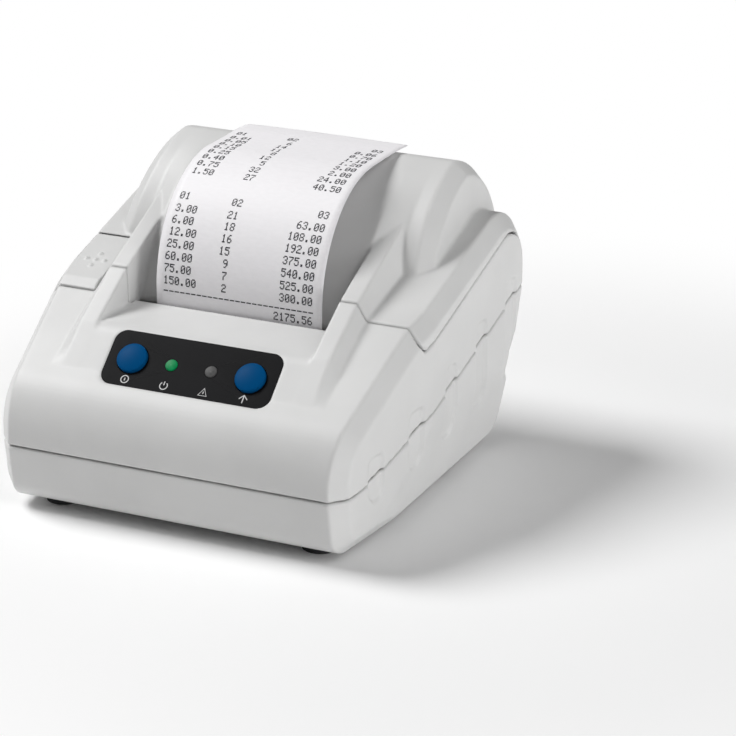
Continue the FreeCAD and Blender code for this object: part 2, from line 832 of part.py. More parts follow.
# Casing
def split_casing():
    outside = casing_form("outside", "0", "1")
    inside = casing_form("inside", "wall", "0.8")
    shell = cut("shell", cut("fluted", outside, flutes()), inside)
    half_gap = "seam_gap / 2"
    lower = common("lower_shell", shell, lower_region("below_seam", half_gap))
    cover = common("cover_shell", shell, cover_region("cover_space", half_gap))
    slot = box("paper_slot", ("-valley_half", "valley_half"), ("slot_front_y", "slot_rear_y"),
               ("valley_z - 2 * wall", FAR_Z))
    upper = cut("upper_shell", shell, lower_region("below_seam_and_gap", "-" + half_gap),
                cover_region("cover_and_gap", "-" + half_gap), slot)
    return lower, upper, cover


CASE_SCREWS = [(tag + end, x, y) for end, x_, y in (("_front", "screw_front_x", "screw_front_y"),
                                                    ("_rear", "screw_rear_x", "screw_rear_y"))
               for tag, x in both(x_)]
FEET = [(tag + end, x, y) for end, y in (("_front", "foot_front_y"), ("_rear", "foot_rear_y"))
        for tag, x in both("foot_x")]
FRAME_POSTS = [(tag + end, x, y) for end, y in (("_front", "post_front_y"), ("_rear", "post_rear_y"))
               for tag, x in both("post_x")]
BOARD_POSTS = [(tag + end, x, y)
               for end, y in (("_front", "board_post_front_y"), ("_rear", "board_post_rear_y"))
               for tag, x in both("board_post_x")]
INNER_FLOOR = "foot_height + wall"
SEAM_AT_SCREW = {"screw_front_y": seam_z("screw_front_y"), "screw_rear_y": seam_z("screw_rear_y")}


def make_lower_case(shell):
    solids = [shell]
    holes = []
    for tag, x, y in CASE_SCREWS:
        top = f"{SEAM_AT_SCREW[y]} - 2 * seam_gap - boss_round / 2"
        solids.append(rod("case_post_" + tag, "Z", "boss_round", (x, y, "foot_height + wall / 2"),
                          f"{top} - foot_height - wall / 2"))
        holes.append(rod("case_hole_" + tag, "Z", "screw_round + pin_gap", (x, y, "0"), FAR_Z))
        holes.append(rod("case_sink_" + tag, "Z", "screw_head + running_gap", (x, y, "0"), "screw_seat_z"))
    for tag, x, y in FRAME_POSTS:
        solids.append(rod("frame_post_" + tag, "Z", "standoff_round", (x, y, "foot_height + wall / 2"),
                          "frame_foot_z - foot_height - wall / 2"))
        holes.append(rod("frame_hole_" + tag, "Z", "screw_round + pin_gap", (x, y, INNER_FLOOR), FAR_Z))
    for tag, x, y in BOARD_POSTS:
        solids.append(rod("board_post_" + tag, "Z", "standoff_round", (x, y, "foot_height + wall / 2"),
                          "main_board_z - foot_height - wall / 2"))
        holes.append(rod("board_hole_" + tag, "Z", "screw_round + pin_gap", (x, y, INNER_FLOOR), FAR_Z))
    for tag, x, y in FEET:
        holes.append(rod("foot_seat_" + tag, "Z", "foot_round", (x, y, "0"), "foot_height + foot_sink"))
    reach = "(knuckle_round + running_gap)"
    holes.append(rod("knuckle_room", "X", reach, ("-knuckle_half - running_gap", "hinge_y", "hinge_z"),
                     "2 * (knuckle_half + running_gap)"))
    holes.append(box("swing_room", (f"-({FAR_X})", FAR_X), ("hinge_y + hinge_pin_round / 2", FAR_Y),
                     (f"hinge_z - {reach}", FAR_Z)))
    for tag, x, width, height in (("jack", "jack_x", "jack_width", "jack_height"),
                                  ("data", "data_x", "data_width", "data_height"),
                                  ("switch", "switch_x", "switch_width", "switch_body_height")):
        reach_x = f"({width} / 2 + running_gap)"
        holes.append(box(tag + "_window", (f"{x} - {reach_x}", f"{x} + {reach_x}"),
                         ("port_face_y - wall", FAR_Y),
                         ("port_foot_z - running_gap", f"port_foot_z + {height} + running_gap")))
    body = cut("lower_body", fuse("lower_solids", *solids), *holes)
    ears = []
    for tag, start in (("left", "-knuckle_half - seam_gap - ear_width"),
                       ("right", "knuckle_half + seam_gap")):
        ear = rod("ear_" + tag, "X", "knuckle_round", (start, "hinge_y", "hinge_z"), "ear_width")
        web = box("ear_web_" + tag, (start, f"{start} + ear_width"),
                  ("hinge_y - knuckle_round", "hinge_y + hinge_pin_round / 2"),
                  ("hinge_z - 3 * knuckle_round", "hinge_z"))
        ears += [ear, web]
    pin_bore = rod("ear_bore", "X", "hinge_pin_round + pin_gap", (f"-({FAR_X})", "hinge_y", "hinge_z"),
                   f"2 * ({FAR_X})")
    piece("lower_case", cut("lower_case_solid", fuse("lower_with_ears", body, *ears), pin_bore))


def make_upper_case(shell):
    solids = [shell]
    holes = []
    for tag, x, y in CASE_SCREWS:
        low = f"{SEAM_AT_SCREW[y]} + 2 * seam_gap + boss_round / 2"
        top = "screw_front_top" if "front" in tag else f"{low} + 4 * boss_round"
        solids.append(rod("upper_post_" + tag, "Z", "boss_round", (x, y, low), f"{top} - ({low})"))
        holes.append(rod("upper_hole_" + tag, "Z", "screw_round + pin_gap", (x, y, "0"),
                         f"{low} + screw_bite"))
        if "rear" in tag:
            ends = sorted((x, f"{x} / screw_rear_x * ({HALF_WIDTH} - wall / 2)"), key=size)
            solids.append(box("upper_web_" + tag, ends, (f"{y} - wall / 2", f"{y} + wall / 2"),
                              (f"{low} + screw_bite", f"{low} + 4 * boss_round")))
    holes.append(panel_sheet("overlay_seat", "0.1", "-overlay_sink", "margin"))
    for tag, x in both("key_x"):
        holes.append(panel_rod("key_hole_" + tag, "key_round + key_gap", x, "0", "-margin", "margin"))
    for tag, x in both("light_x"):
        holes.append(panel_rod("light_hole_" + tag, "light_round + pin_gap", x, "0", "-margin", "margin"))
    for tag, x in both("panel_post_x"):
        solids.append(panel_rod("panel_post_" + tag, "panel_post_round", x, "0", "-panel_board_drop",
                                "-wall / 2"))
    room = "lever_gap"
    holes.append(box("lever_pocket", (f"-lever_outer - {room}", f"-lever_inner + {room}"),
                     (f"lever_front_y - {room}", f"lever_rear_y + {room} + margin"),
                     ("lever_pin_z - lever_boss_round - 2 * wall", FAR_Z)))
    body = cut("upper_body", fuse("upper_solids", *solids), *holes)
    rib = box("lever_rib", ("-lever_inner + lever_gap", "-lever_inner + lever_gap + wall"),
              ("lever_front_y - wall / 2", "lever_pin_y + lever_boss_round"),
              ("lever_pin_z - lever_boss_round", "lever_pin_z + 2 * lever_boss_round"))
    start = (f"-{HALF_WIDTH} + wall / 2", "lever_pin_y", "lever_pin_z")
    boss = rod("lever_wall_boss", "X", "lever_boss_round", start,
               f"{HALF_WIDTH} - wall / 2 - lever_outer - lever_gap")
    bore = rod("lever_bore", "X", "lever_pin_round + pin_gap", start, LEVER_PIN_LENGTH + " + pin_gap")
    piece("upper_case", cut("upper_case_solid", fuse("upper_with_rib", body, rib, boss), bore))


BRACKET_SCREWS = both("bracket_screw_x")
EAR_ROOM = "ear_width + 2 * seam_gap"


def make_cover(shell):
    knuckle = rod("knuckle", "X", "knuckle_round", ("-knuckle_half", "hinge_y", "hinge_z"),
                  "2 * knuckle_half")
    solids = [shell, knuckle]
    holes = [rod("knuckle_bore", "X", "hinge_pin_round + pin_gap", (f"-({FAR_X})", "hinge_y", "hinge_z"),
                 f"2 * ({FAR_X})")]
    for tag, start in (("left", f"-knuckle_half - ({EAR_ROOM})"), ("right", "knuckle_half")):
        holes.append(rod("ear_room_" + tag, "X", "knuckle_round + running_gap",
                         (start, "hinge_y", "hinge_z"), EAR_ROOM))
    for tag, x in BRACKET_SCREWS:
        solids.append(rod("bracket_boss_" + tag, "Y", "bracket_boss_round",
                          (x, "bracket_boss_y", "bracket_screw_z"),
                          "bracket_back_y - bracket_thick - bracket_boss_y"))
        holes.append(rod("bracket_hole_" + tag, "Y", "screw_round + pin_gap",
                         (x, "bracket_boss_y + wall", "bracket_screw_z"), "margin"))
    crest_y, crest_z = hump_corners("0")[0][3]
    holes.append(box("crest_line", (f"-({FAR_X})", FAR_X),
                     (f"{crest_y} - crest_groove / 2", f"{crest_y} + crest_groove / 2"),
                     (f"{crest_z} - crest_groove", FAR_Z)))
    piece("top_cover", cut("top_cover_solid", fuse("cover_solids", *solids), *holes))


def make_lever():
    """A plate flush with the left shoulder, on a boss that turns on a cross pin."""
    blank = box("lever_blank", ("-lever_outer", "-lever_inner"), ("lever_front_y", "lever_rear_y"),
                ("lever_pin_z", FAR_Z))
    top = wedge("lever_top", "0", "1")
    under = wedge("lever_under", "lever_thick", "0.8")
    plate = cut("lever_plate", common("lever_skin", top, blank), under)
    boss = rod("lever_boss", "X", "lever_boss_round", ("-lever_outer", "lever_pin_y", "lever_pin_z"),
               "lever_outer - lever_inner")
    web = box("lever_web", ("-lever_outer + wall", "-lever_inner - wall"),
              ("lever_pin_y - lever_boss_round / 2", "lever_pin_y + lever_boss_round / 2"),
              ("lever_pin_z", f"{shoulder_z('lever_pin_y')} - lever_thick / 2"))
    solids = [plate, boss, web]
    middle_x = "-(lever_inner + lever_outer) / 2"
    for tag, dx, dy in (("middle", 0, 0), ("left", -1, 0), ("right", 1, 0), ("front", 0, -1), ("rear", 0, 1)):
        y = f"lever_dot_y + {dy} * dot_pitch"
        dot = DOC.addObject("Part::Sphere", "dot_" + tag)
        bind(dot, Radius="dot_round")
        solids.append(place(dot, f"{middle_x} + {dx} * dot_pitch", y, f"{shoulder_z(y)} - dot_round / 3"))
    bore = rod("lever_boss_bore", "X", "lever_pin_round + pin_gap",
               (f"-({FAR_X})", "lever_pin_y", "lever_pin_z"), FAR_X)
    piece("release_lever", cut("lever_solid", fuse("lever_solids", *solids), bore))
    piece("lever_pin", rod("lever_pin_rod", "X", "lever_pin_round",
                           (f"-{HALF_WIDTH} + wall / 2 + pin_gap", "lever_pin_y", "lever_pin_z"),
                           LEVER_PIN_LENGTH))


# Panel: overlay, keys, lights and their board
def make_panel():
    sheet = panel_sheet("overlay_sheet", "0", "-overlay_sink", "overlay_thick - overlay_sink")
    holes = [panel_rod("overlay_key_" + tag, "key_round + key_gap", x, "0", "-margin", "margin")
             for tag, x in both("key_x")]
    holes += [panel_rod("overlay_light_" + tag, "light_round + pin_gap", x, "0", "-margin", "margin")
              for tag, x in both("light_x")]
    piece("panel_overlay", cut("overlay_solid", sheet, *holes))
    for label, tag, x in (("set_key", "left", "-key_x"), ("feed_key", "right", "key_x")):
        cap = panel_rod("cap_" + tag, "key_round", x, "0", "-key_skirt", "key_rise")
        dome = DOC.addObject("Part::Sphere", "dome_" + tag)
        bind(dome, Radius="key_dome_round")
        on_panel(dome, x, "0", "key_rise - key_dome_round")
        flange = panel_rod("flange_" + tag, "key_round + key_flange", x, "0", "-key_skirt - key_flange_thick",
                           "-key_skirt")
        stem = panel_rod("stem_" + tag, "key_stem", x, "0", "-key_stem_end", "-key_skirt")
        piece(label, fuse(label + "_solid", common("domed_" + tag, cap, dome), flange, stem))
    for label, tag, x in (("power_lens", "left", "-light_x"), ("error_lens", "right", "light_x")):
        post = panel_rod("lens_post_" + tag, "light_round", x, "0", "-panel_board_drop", "light_rise")
        dome = DOC.addObject("Part::Sphere", "lens_dome_" + tag)
        bind(dome, Radius="panel_board_drop + light_rise")
        on_panel(dome, x, "0", "-panel_board_drop")
        piece(label, common(label + "_solid", post, dome))
    piece("panel_board", panel_slab("panel_board_slab", "panel_board_width", "panel_board_height",
                                    "-panel_board_drop - board_thick", "-panel_board_drop"))
    switches = []
    for tag, x in both("key_x"):
        block = DOC.addObject("Part::Box", "switch_block_" + tag)
        bind(block, Length="switch_side", Width="switch_side", Height="switch_height")
        switches.append(on_panel(block, f"{x} - switch_side / 2", "-switch_side / 2", "-panel_board_drop"))
    piece("tact_switches", group("tact_switch_pair", *switches))


# Print mechanism
def gear_outline(teeth, phase):
    """An involute gear's outline about the origin, with one tooth centred on the phase."""
    module, slack = size("gear_module"), size("backlash")
    pitch = module * teeth / 2
    base = pitch * math.cos(math.radians(20))
    tip, root = pitch + 0.8 * module, pitch - 1.25 * module
    involute = math.tan(math.radians(20)) - math.radians(20)
    half_tooth = math.pi / (2 * teeth) - slack / (4 * pitch)
    flank = []
    start = max(base, root)
    for step in range(5):
        radius = start + (tip - start) * step / 4
        pressure = math.acos(base / radius)
        flank.append((radius, half_tooth + involute - math.tan(pressure) + pressure))
    if root < base:
        flank.insert(0, (root, flank[0][1]))
    points = []
    for tooth in range(teeth):
        centre = math.radians(phase) + 2 * math.pi * tooth / teeth
        for radius, angle in flank:
            points.append((radius, centre - angle))
        for radius, angle in reversed(flank):
            points.append((radius, centre + angle))
    return [VEC(0, r * math.cos(a), r * math.sin(a)) for r, a in points]


def gear(name, teeth, phase, y, z, bore):
    """A gear in the plane beside the left frame plate."""
    corners = gear_outline(int(round(size(teeth))), phase)
    wire = DOC.addObject("Part::Feature", name + "_teeth")
    wire.Shape = Part.makePolygon(corners + corners[:1])
    place(wire, "-frame_half - gear_offset - gear_width", y, z)
    disc = DOC.addObject("Part::Extrusion", name + "_disc")
    disc.Base = wire
    disc.DirMode = "Custom"
    disc.Dir = VEC(1, 0, 0)
    disc.Solid = True
    bind(disc, LengthFwd="gear_width")
    hole = rod(name + "_bore", "X", bore, (f"-({FAR_X})", y, z), FAR_X)
    return cut(name + "_solid", disc, hole)


def idler_phase():
    """Puts a gap of the idler under the platen gear's lowest tooth."""
    return 90 + 180 / size("idler_teeth")


def pinion_phase():
    """Puts the pinion's gaps where the idler's teeth are, on the line between the two."""
    ahead = (180 + size("pinion_angle") - idler_phase()) / 360 * size("idler_teeth")
    return size("pinion_angle") + (ahead - math.floor(ahead) - 0.5) * 360 / size("pinion_teeth")


IDLER_Z = "platen_z - gear_module * (platen_teeth + idler_teeth) / 2"
PINION_REACH = "gear_module * (idler_teeth + pinion_teeth) / 2"
PINION_Y = f"platen_y - {PINION_REACH} * cos(pinion_angle)"
PINION_Z = f"{IDLER_Z} - {PINION_REACH} * sin(pinion_angle)"
FRAME_INNER = "frame_half - frame_thick"


def make_mechanism():
    plates = []
    for tag, start in (("left", "-frame_half"), ("right", FRAME_INNER)):
        plates.append(box("plate_" + tag, (start, f"{start} + frame_thick"),
                          ("frame_front_y", "frame_rear_y"), ("frame_foot_z", "frame_top_z")))
    span = (f"-({FRAME_INNER})", FRAME_INNER)
    plates.append(box("frame_floor", span, ("frame_front_y", "frame_rear_y"),
                      ("frame_foot_z", "frame_foot_z + frame_thick")))
    plates.append(box("frame_front_bar", span, ("frame_front_y", "frame_front_y + frame_thick"),
                      ("head_foot_z", "frame_top_z")))
    plates.append(box("frame_rear_bar", span, ("frame_rear_y - frame_thick", "frame_rear_y"),
                      ("sensor_z - 4 * frame_thick", "sensor_z")))
    seat = "bush_round + running_gap"
    holes = [rod("bush_seat", "X", seat, (f"-({FAR_X})", "platen_y", "platen_z"), f"2 * ({FAR_X})"),
             box("bush_way", (f"-({FAR_X})", FAR_X), (f"platen_y - ({seat})", f"platen_y + {seat}"),
                 ("platen_z", FAR_Z)),
             rod("motor_shaft_hole", "X", "motor_nose + pin_gap", (f"-({FAR_X})", PINION_Y, PINION_Z), FAR_X),
             rod("idler_pin_hole", "X", "idler_pin_round", (f"-({FAR_X})", "platen_y", IDLER_Z), FAR_X)]
    for tag, x, y in FRAME_POSTS:
        holes.append(rod("frame_clear_" + tag, "Z", "screw_round + pin_gap", (x, y, "0"), FAR_Z))
    piece("mechanism_frame", cut("mechanism_frame_solid", fuse("frame_plates", *plates), *holes))

    start = ("-platen_half", "platen_y", "platen_z")
    rubber = rod("platen_rubber", "X", "platen_round", start, "2 * platen_half")
    core = rod("platen_core", "X", "shaft_round", start, "2 * platen_half")
    piece("platen_roller", cut("platen_sleeve", rubber, core))
    shaft_start = "-frame_half - gear_offset - gear_width - 0.5"
    piece("platen_shaft", rod("platen_shaft_rod", "X", "shaft_round", (shaft_start, "platen_y", "platen_z"),
                              f"frame_half + 1 - ({shaft_start})"))
    bushes = []
    for tag, start in (("left", "-frame_half - bush_proud"), ("right", f"{FRAME_INNER} - bush_proud")):
        ring = rod("bush_ring_" + tag, "X", "bush_round", (start, "platen_y", "platen_z"),
                   "frame_thick + 2 * bush_proud")
        hole = rod("bush_bore_" + tag, "X", "shaft_round + pin_gap", (start, "platen_y", "platen_z"),
                   "frame_thick + 2 * bush_proud")
        bushes.append(cut("bush_" + tag, ring, hole))
    piece("platen_bushes", group("platen_bush_pair", *bushes))

    ear_low = "platen_z - shaft_round - bracket_thick"
    parts = [box("bracket_back", ("-bracket_half", "bracket_half"),
                 ("bracket_back_y - bracket_thick", "bracket_back_y"), (ear_low, "bracket_top_z"))]
    for tag, start in (("left", "-bracket_half"), ("right", "bracket_half - bracket_thick")):
        parts.append(box("bracket_ear_" + tag, (start, f"{start} + bracket_thick"),
                         ("platen_y - shaft_round - bracket_thick", "bracket_back_y"),
                         (ear_low, "platen_z + shaft_round + bracket_thick")))
    holes = [rod("bracket_bore", "X", "shaft_round + pin_gap", (f"-({FAR_X})", "platen_y", "platen_z"),
                 f"2 * ({FAR_X})")]
    for tag, x in BRACKET_SCREWS:
        holes.append(rod("bracket_clear_" + tag, "Y", "screw_round + pin_gap",
                         (x, "bracket_back_y - 2 * bracket_thick", "bracket_screw_z"), "3 * bracket_thick"))
    piece("platen_bracket", cut("bracket_solid", fuse("bracket_sheet", *parts), *holes))

    piece("platen_gear", gear("platen_wheel", "platen_teeth", -90, "platen_y", "platen_z",
                              "shaft_round + pin_gap"))
    piece("idler_gear", gear("idler_wheel", "idler_teeth", idler_phase(), "platen_y", IDLER_Z,
                             "idler_pin_round + pin_gap"))
    piece("motor_pinion", gear("pinion_wheel", "pinion_teeth", pinion_phase(), PINION_Y, PINION_Z,
                               "motor_shaft_round"))
    piece("idler_pin", rod("idler_pin_rod", "X", "idler_pin_round",
                           ("-frame_half - gear_offset - gear_width - 1", "platen_y", IDLER_Z),
                           "gear_offset + gear_width + frame_thick + 1"))
    can = rod("motor_can", "X", "motor_round", (f"-({FRAME_INNER})", PINION_Y, PINION_Z), "motor_length")
    nose = rod("motor_nose_ring", "X", "motor_nose", (f"-({FRAME_INNER}) - frame_thick", PINION_Y, PINION_Z),
               "frame_thick + 1")
    bearing = rod("motor_bearing", "X", "motor_shaft_round + pin_gap", (f"-({FAR_X})", PINION_Y, PINION_Z),
                  f"{FAR_X} - ({FRAME_INNER}) + 2 * motor_shaft_round")
    piece("stepper_motor", cut("motor_solid", fuse("motor_body", can, nose), bearing))
    piece("motor_shaft", rod("motor_shaft_rod", "X", "motor_shaft_round",
                             ("-frame_half - gear_offset - gear_width - 0.5", PINION_Y, PINION_Z),
                             "gear_width + gear_offset + frame_thick + motor_shaft_round"))

    face_y = "platen_y - platen_round - paper_gap - paper_thick - head_gap"
    half = f"{FRAME_INNER} - seam_gap"
    piece("print_head", prism("print_head_block", "YZ", (f"-({half})", half), [
        (f"{face_y} - head_thick", "head_foot_z"),
        (face_y, "head_foot_z"),
        (face_y, "head_top_z - head_thick / 4"),
        (f"{face_y} - head_thick / 4", "head_top_z"),
        (f"{face_y} - head_thick", "head_top_z"),
    ]))
    back_y = f"{face_y} - head_thick"
    bar_y = "frame_front_y + frame_thick"
    low, high = "head_foot_z + wall", "head_top_z - wall"
    middle = "(head_foot_z + head_top_z) / 2"
    piece("head_spring", prism("head_leaf", "YZ", ("-head_leaf_half", "head_leaf_half"), [
        (bar_y, low),
        (f"{bar_y} + leaf_thick", low),
        (back_y, middle),
        (f"{bar_y} + leaf_thick", high),
        (bar_y, high),
        (f"{back_y} - leaf_thick * 1.5", middle),
    ]))
    make_tear_bar()
    piece("paper_sensor", box("sensor_block", ("sensor_x - switch_side / 2", "sensor_x + switch_side / 2"),
                              ("frame_rear_y - frame_thick / 2 - switch_side / 2",
                               "frame_rear_y - frame_thick / 2 + switch_side / 2"),
                              ("sensor_z", "sensor_z + switch_height")))


def make_tear_bar():
    """A serrated strip at the front edge of the paper slot."""
    half = "valley_half - seam_gap"
    count = int(round(2 * size(half) / size("blade_pitch")))
    step = f"2 * ({half}) / {count}"
    top = "valley_z - 0.1"
    corners = [(f"-({half})", f"{top} - blade_drop"), (half, f"{top} - blade_drop")]
    for tooth in range(count):
        corners.append((f"{half} - {tooth} * {step}", f"{top} - blade_tooth"))
        corners.append((f"{half} - ({tooth} + 0.5) * {step}", top))
    corners.append((f"-({half})", f"{top} - blade_tooth"))
    piece("tear_bar", prism("tear_strip", "XZ", ("slot_front_y", "slot_front_y + blade_thick"), corners))


# Paper
PAPER_HALF = "paper_width / 2"


def make_paper():
    roll = rod("roll_outside", "X", "roll_round", (f"-{PAPER_HALF}", "roll_y", "roll_z"), "paper_width")
    core = rod("core_outside", "X", "core_round", (f"-{PAPER_HALF}", "roll_y", "roll_z"), "paper_width")
    bore = rod("core_hole", "X", "core_bore", (f"-{PAPER_HALF}", "roll_y", "roll_z"), "paper_width")
    piece("paper_roll", cut("roll_solid", roll, rod("roll_hole", "X", "core_round",
                                                    (f"-{PAPER_HALF}", "roll_y", "roll_z"), "paper_width")))
    piece("roll_core", cut("core_solid", core, bore))
    make_web()
    make_receipt()
    make_tray()


def make_web():
    """The paper between the roll and the platen: straight, then round the platen and up past the head."""
    radius = "(platen_round + paper_gap + paper_thick)"
    start = (f"-{PAPER_HALF}", "platen_y", "platen_z")
    wrap = rod("web_outer", "X", radius, start, "paper_width")
    core = rod("web_inner", "X", "platen_round + paper_gap", start, "paper_width")
    ahead = box("web_ahead", (f"-{PAPER_HALF}", PAPER_HALF), (f"platen_y - 2 * {radius}", "platen_y"),
                (f"platen_z - 2 * {radius}", "platen_z"))
    under = prism("web_under", "YZ", (f"-{PAPER_HALF}", PAPER_HALF), [
        ("platen_y", "platen_z"),
        (f"platen_y - 2 * {radius} * sin(web_angle)", f"platen_z - 2 * {radius} * cos(web_angle)"),
        (f"platen_y + 2 * {radius}", f"platen_z - 2 * {radius}"),
        (f"platen_y + 2 * {radius}", "platen_z"),
    ])
    bend = cut("web_bend", common("web_front_ring", cut("web_ring", wrap, core), ahead), under)
    rise = box("web_rise", (f"-{PAPER_HALF}", PAPER_HALF),
               (f"platen_y - {radius}", f"platen_y - {radius} + paper_thick"), ("platen_z", "web_top_z"))
    near_y = f"platen_y - ({radius}) * sin(web_angle)"
    near_z = f"platen_z - ({radius}) * cos(web_angle)"
    far_y = "web_end_y"
    far_z = f"{near_z} - (web_end_y - ({near_y})) * tan(web_angle)"
    run = prism("web_run", "YZ", (f"-{PAPER_HALF}", PAPER_HALF), [
        (near_y, near_z),
        (far_y, far_z),
        (f"{far_y} + paper_thick * sin(web_angle)", f"{far_z} + paper_thick * cos(web_angle)"),
        (f"{near_y} + paper_thick * sin(web_angle)", f"{near_z} + paper_thick * cos(web_angle)"),
    ])
    piece("paper_web", fuse("web_solid", run, bend, rise))


def make_receipt():
    """The printed end: it stands in the slot, bends back, rises to the crest and ends level behind it."""
    centre_y = "platen_y - platen_round - paper_gap - paper_thick / 2 + receipt_round"
    lead = "receipt_crest_round * tan(receipt_slope / 2)"
    rise = f"(receipt_run + {lead})"
    crest_y = f"{centre_y} - receipt_round * sin(receipt_slope) + {rise} * cos(receipt_slope)"
    crest_z = f"receipt_centre_z + receipt_round * cos(receipt_slope) + {rise} * sin(receipt_slope)"
    end_y = f"{crest_y} + {lead} + receipt_tail"

    def face(offset):
        """One face of the paper, from the slot to the free end, and its bend's radius."""
        bend = f"(receipt_round + {offset})"
        foot_y = f"{centre_y} - sqrt({bend} ^ 2 - (receipt_foot_z - receipt_centre_z) ^ 2)"
        return [
            (foot_y, "receipt_foot_z"),
            (f"{centre_y} - {bend} * sin(receipt_slope)", f"receipt_centre_z + {bend} * cos(receipt_slope)"),
            (f"{crest_y} - ({offset}) * tan(receipt_slope / 2)", f"{crest_z} + {offset}",
             f"receipt_crest_round + {offset}"),
            (end_y, f"{crest_z} + {offset}"),
        ], bend

    under, inner = face("-paper_thick / 2")
    upper, outer = face("paper_thick / 2")
    piece("receipt_strip", prism("receipt_sheet", "YZ", (f"-{PAPER_HALF}", PAPER_HALF),
                                 under + upper[::-1], {0: (inner, -1), 6: (outer, 1)}))


def make_tray():
    """A trough that carries the roll, between two end walls with legs."""
    inner = "(roll_round + running_gap)"
    outer = f"({inner} + tray_thick)"
    half = "tray_half + tray_thick"
    shell = rod("tray_outer", "X", outer, (f"-({half})", "roll_y", "roll_z"), f"2 * ({half})")
    hollow = rod("tray_hollow", "X", inner, ("-tray_half", "roll_y", "roll_z"), "2 * tray_half")
    open_top = prism("tray_open", "YZ", (f"-({FAR_X})", FAR_X), [
        (f"roll_y - 2 * {outer}", "0"),
        ("tray_lip_y", "0"),
        ("tray_lip_y", "roll_z"),
        ("roll_y", "tray_rear_z"),
        (f"roll_y + 2 * {outer}", "tray_rear_z"),
        (f"roll_y + 2 * {outer}", "roll_z + 2 * roll_round"),
        (f"roll_y - 2 * {outer}", "roll_z + 2 * roll_round"),
    ])
    trough = cut("tray_trough", shell, hollow, open_top)
    legs = []
    for tag, start in (("left", f"-({half})"), ("right", "tray_half")):
        legs.append(box("tray_leg_" + tag, (start, f"{start} + tray_thick"),
                        ("roll_y - tray_leg", "roll_y + tray_leg"),
                        (INNER_FLOOR, f"roll_z - {inner} + tray_thick")))
    piece("paper_tray", fuse("tray_solid", trough, *legs))


# Electronics and fasteners
def make_electronics():
    board = box("main_board_slab", ("-main_board_width / 2", "main_board_width / 2"),
                ("main_board_front_y", "main_board_rear_y"), ("main_board_z", "main_board_z + board_thick"))
    holes = [rod("main_board_hole_" + tag, "Z", "screw_round + pin_gap", (x, y, "0"), FAR_Z)
             for tag, x, y in BOARD_POSTS]
    piece("main_board", cut("main_board_solid", board, *holes))
    chips = [box("processor", ("-switch_side", "switch_side"), ("-switch_side", "switch_side"),
                 ("main_board_z + board_thick", "main_board_z + board_thick + switch_height / 2")),
             box("driver", ("2 * switch_side", "3 * switch_side"), ("-3 * switch_side", "-2 * switch_side"),
                 ("main_board_z + board_thick", "main_board_z + board_thick + switch_height / 2"))]
    piece("board_chips", group("chip_pair", *chips))
    faces = ("port_face_y - port_depth", "port_face_y")
    jack = box("jack_block", ("jack_x - jack_width / 2", "jack_x + jack_width / 2"), faces,
               ("port_foot_z", "port_foot_z + jack_height"))
    middle = "port_foot_z + jack_height / 2"
    hole = rod("jack_hole", "Y", "jack_bore", ("jack_x", "port_face_y - port_depth * 0.7", middle),
               "port_depth")
    pin = rod("jack_pin_rod", "Y", "jack_pin", ("jack_x", "port_face_y - port_depth * 0.8", middle),
              "port_depth * 0.7")
    piece("power_jack", fuse("jack_solid", cut("jack_shell", jack, hole), pin))
    block = box("data_block", ("data_x - data_width / 2", "data_x + data_width / 2"), faces,
                ("port_foot_z", "port_foot_z + data_height"))
    cavity = box("data_cavity",
                 ("data_x - data_width / 2 + data_wall", "data_x + data_width / 2 - data_wall"),
                 ("port_face_y - port_depth + data_wall", FAR_Y),
                 ("port_foot_z + data_wall", "port_foot_z + data_height - data_wall"))
    piece("data_port", cut("data_solid", block, cavity))
    make_switch()


def make_switch():
    middle = "(port_foot_z + switch_body_height / 2)"
    body = box("switch_block", ("switch_x - switch_width / 2", "switch_x + switch_width / 2"),
               ("port_face_y - port_depth", "port_face_y"),
               ("port_foot_z", "port_foot_z + switch_body_height"))
    room = box("switch_room",
               ("switch_x - rocker_width / 2 - running_gap", "switch_x + rocker_width / 2 + running_gap"),
               ("rocker_pin_y - rocker_back - running_gap", FAR_Y),
               (f"{middle} - rocker_room / 2", f"{middle} + rocker_room / 2"))
    bore = rod("rocker_bore", "X", "rocker_pin_round + pin_gap",
               ("switch_x - rocker_width / 2 - rocker_pin_reach - pin_gap", "rocker_pin_y", middle),
               "rocker_width + 2 * (rocker_pin_reach + pin_gap)")
    piece("switch_body", cut("switch_solid", body, room, bore))
    face_y = "rocker_pin_y + rocker_front"
    paddle = prism("rocker_paddle", "YZ", ("switch_x - rocker_width / 2", "switch_x + rocker_width / 2"), [
        ("rocker_pin_y - rocker_back * 0.5", f"{middle} - rocker_height / 4"),
        (face_y, f"{middle} - rocker_height / 2"),
        (f"{face_y} - rocker_dish", middle),
        (face_y, f"{middle} + rocker_height / 2"),
        ("rocker_pin_y - rocker_back * 0.5", f"{middle} + rocker_height / 4"),
    ])
    pin = rod("rocker_pins", "X", "rocker_pin_round",
              ("switch_x - rocker_width / 2 - rocker_pin_reach", "rocker_pin_y", middle),
              "rocker_width + 2 * rocker_pin_reach")
    rocker = fuse("rocker_solid", paddle, pin)
    pivot = VEC(size("switch_x"), size("rocker_pin_y"), size(middle))
    piece("power_rocker", turned(rocker, VEC(1, 0, 0), -size("rocker_tilt"), pivot))


def screw(name, x, y, seat, length, head_up):
    """A round-headed screw along Z; its head is above or below the seat."""
    head_z = seat if head_up else f"{seat} - screw_head_height"
    shank_z = f"{seat} - ({length})" if head_up else seat
    head = rod(name + "_head", "Z", "screw_head", (x, y, head_z), "screw_head_height")
    shank = rod(name + "_shank", "Z", "screw_round", (x, y, shank_z), length)
    return fuse(name, head, shank)


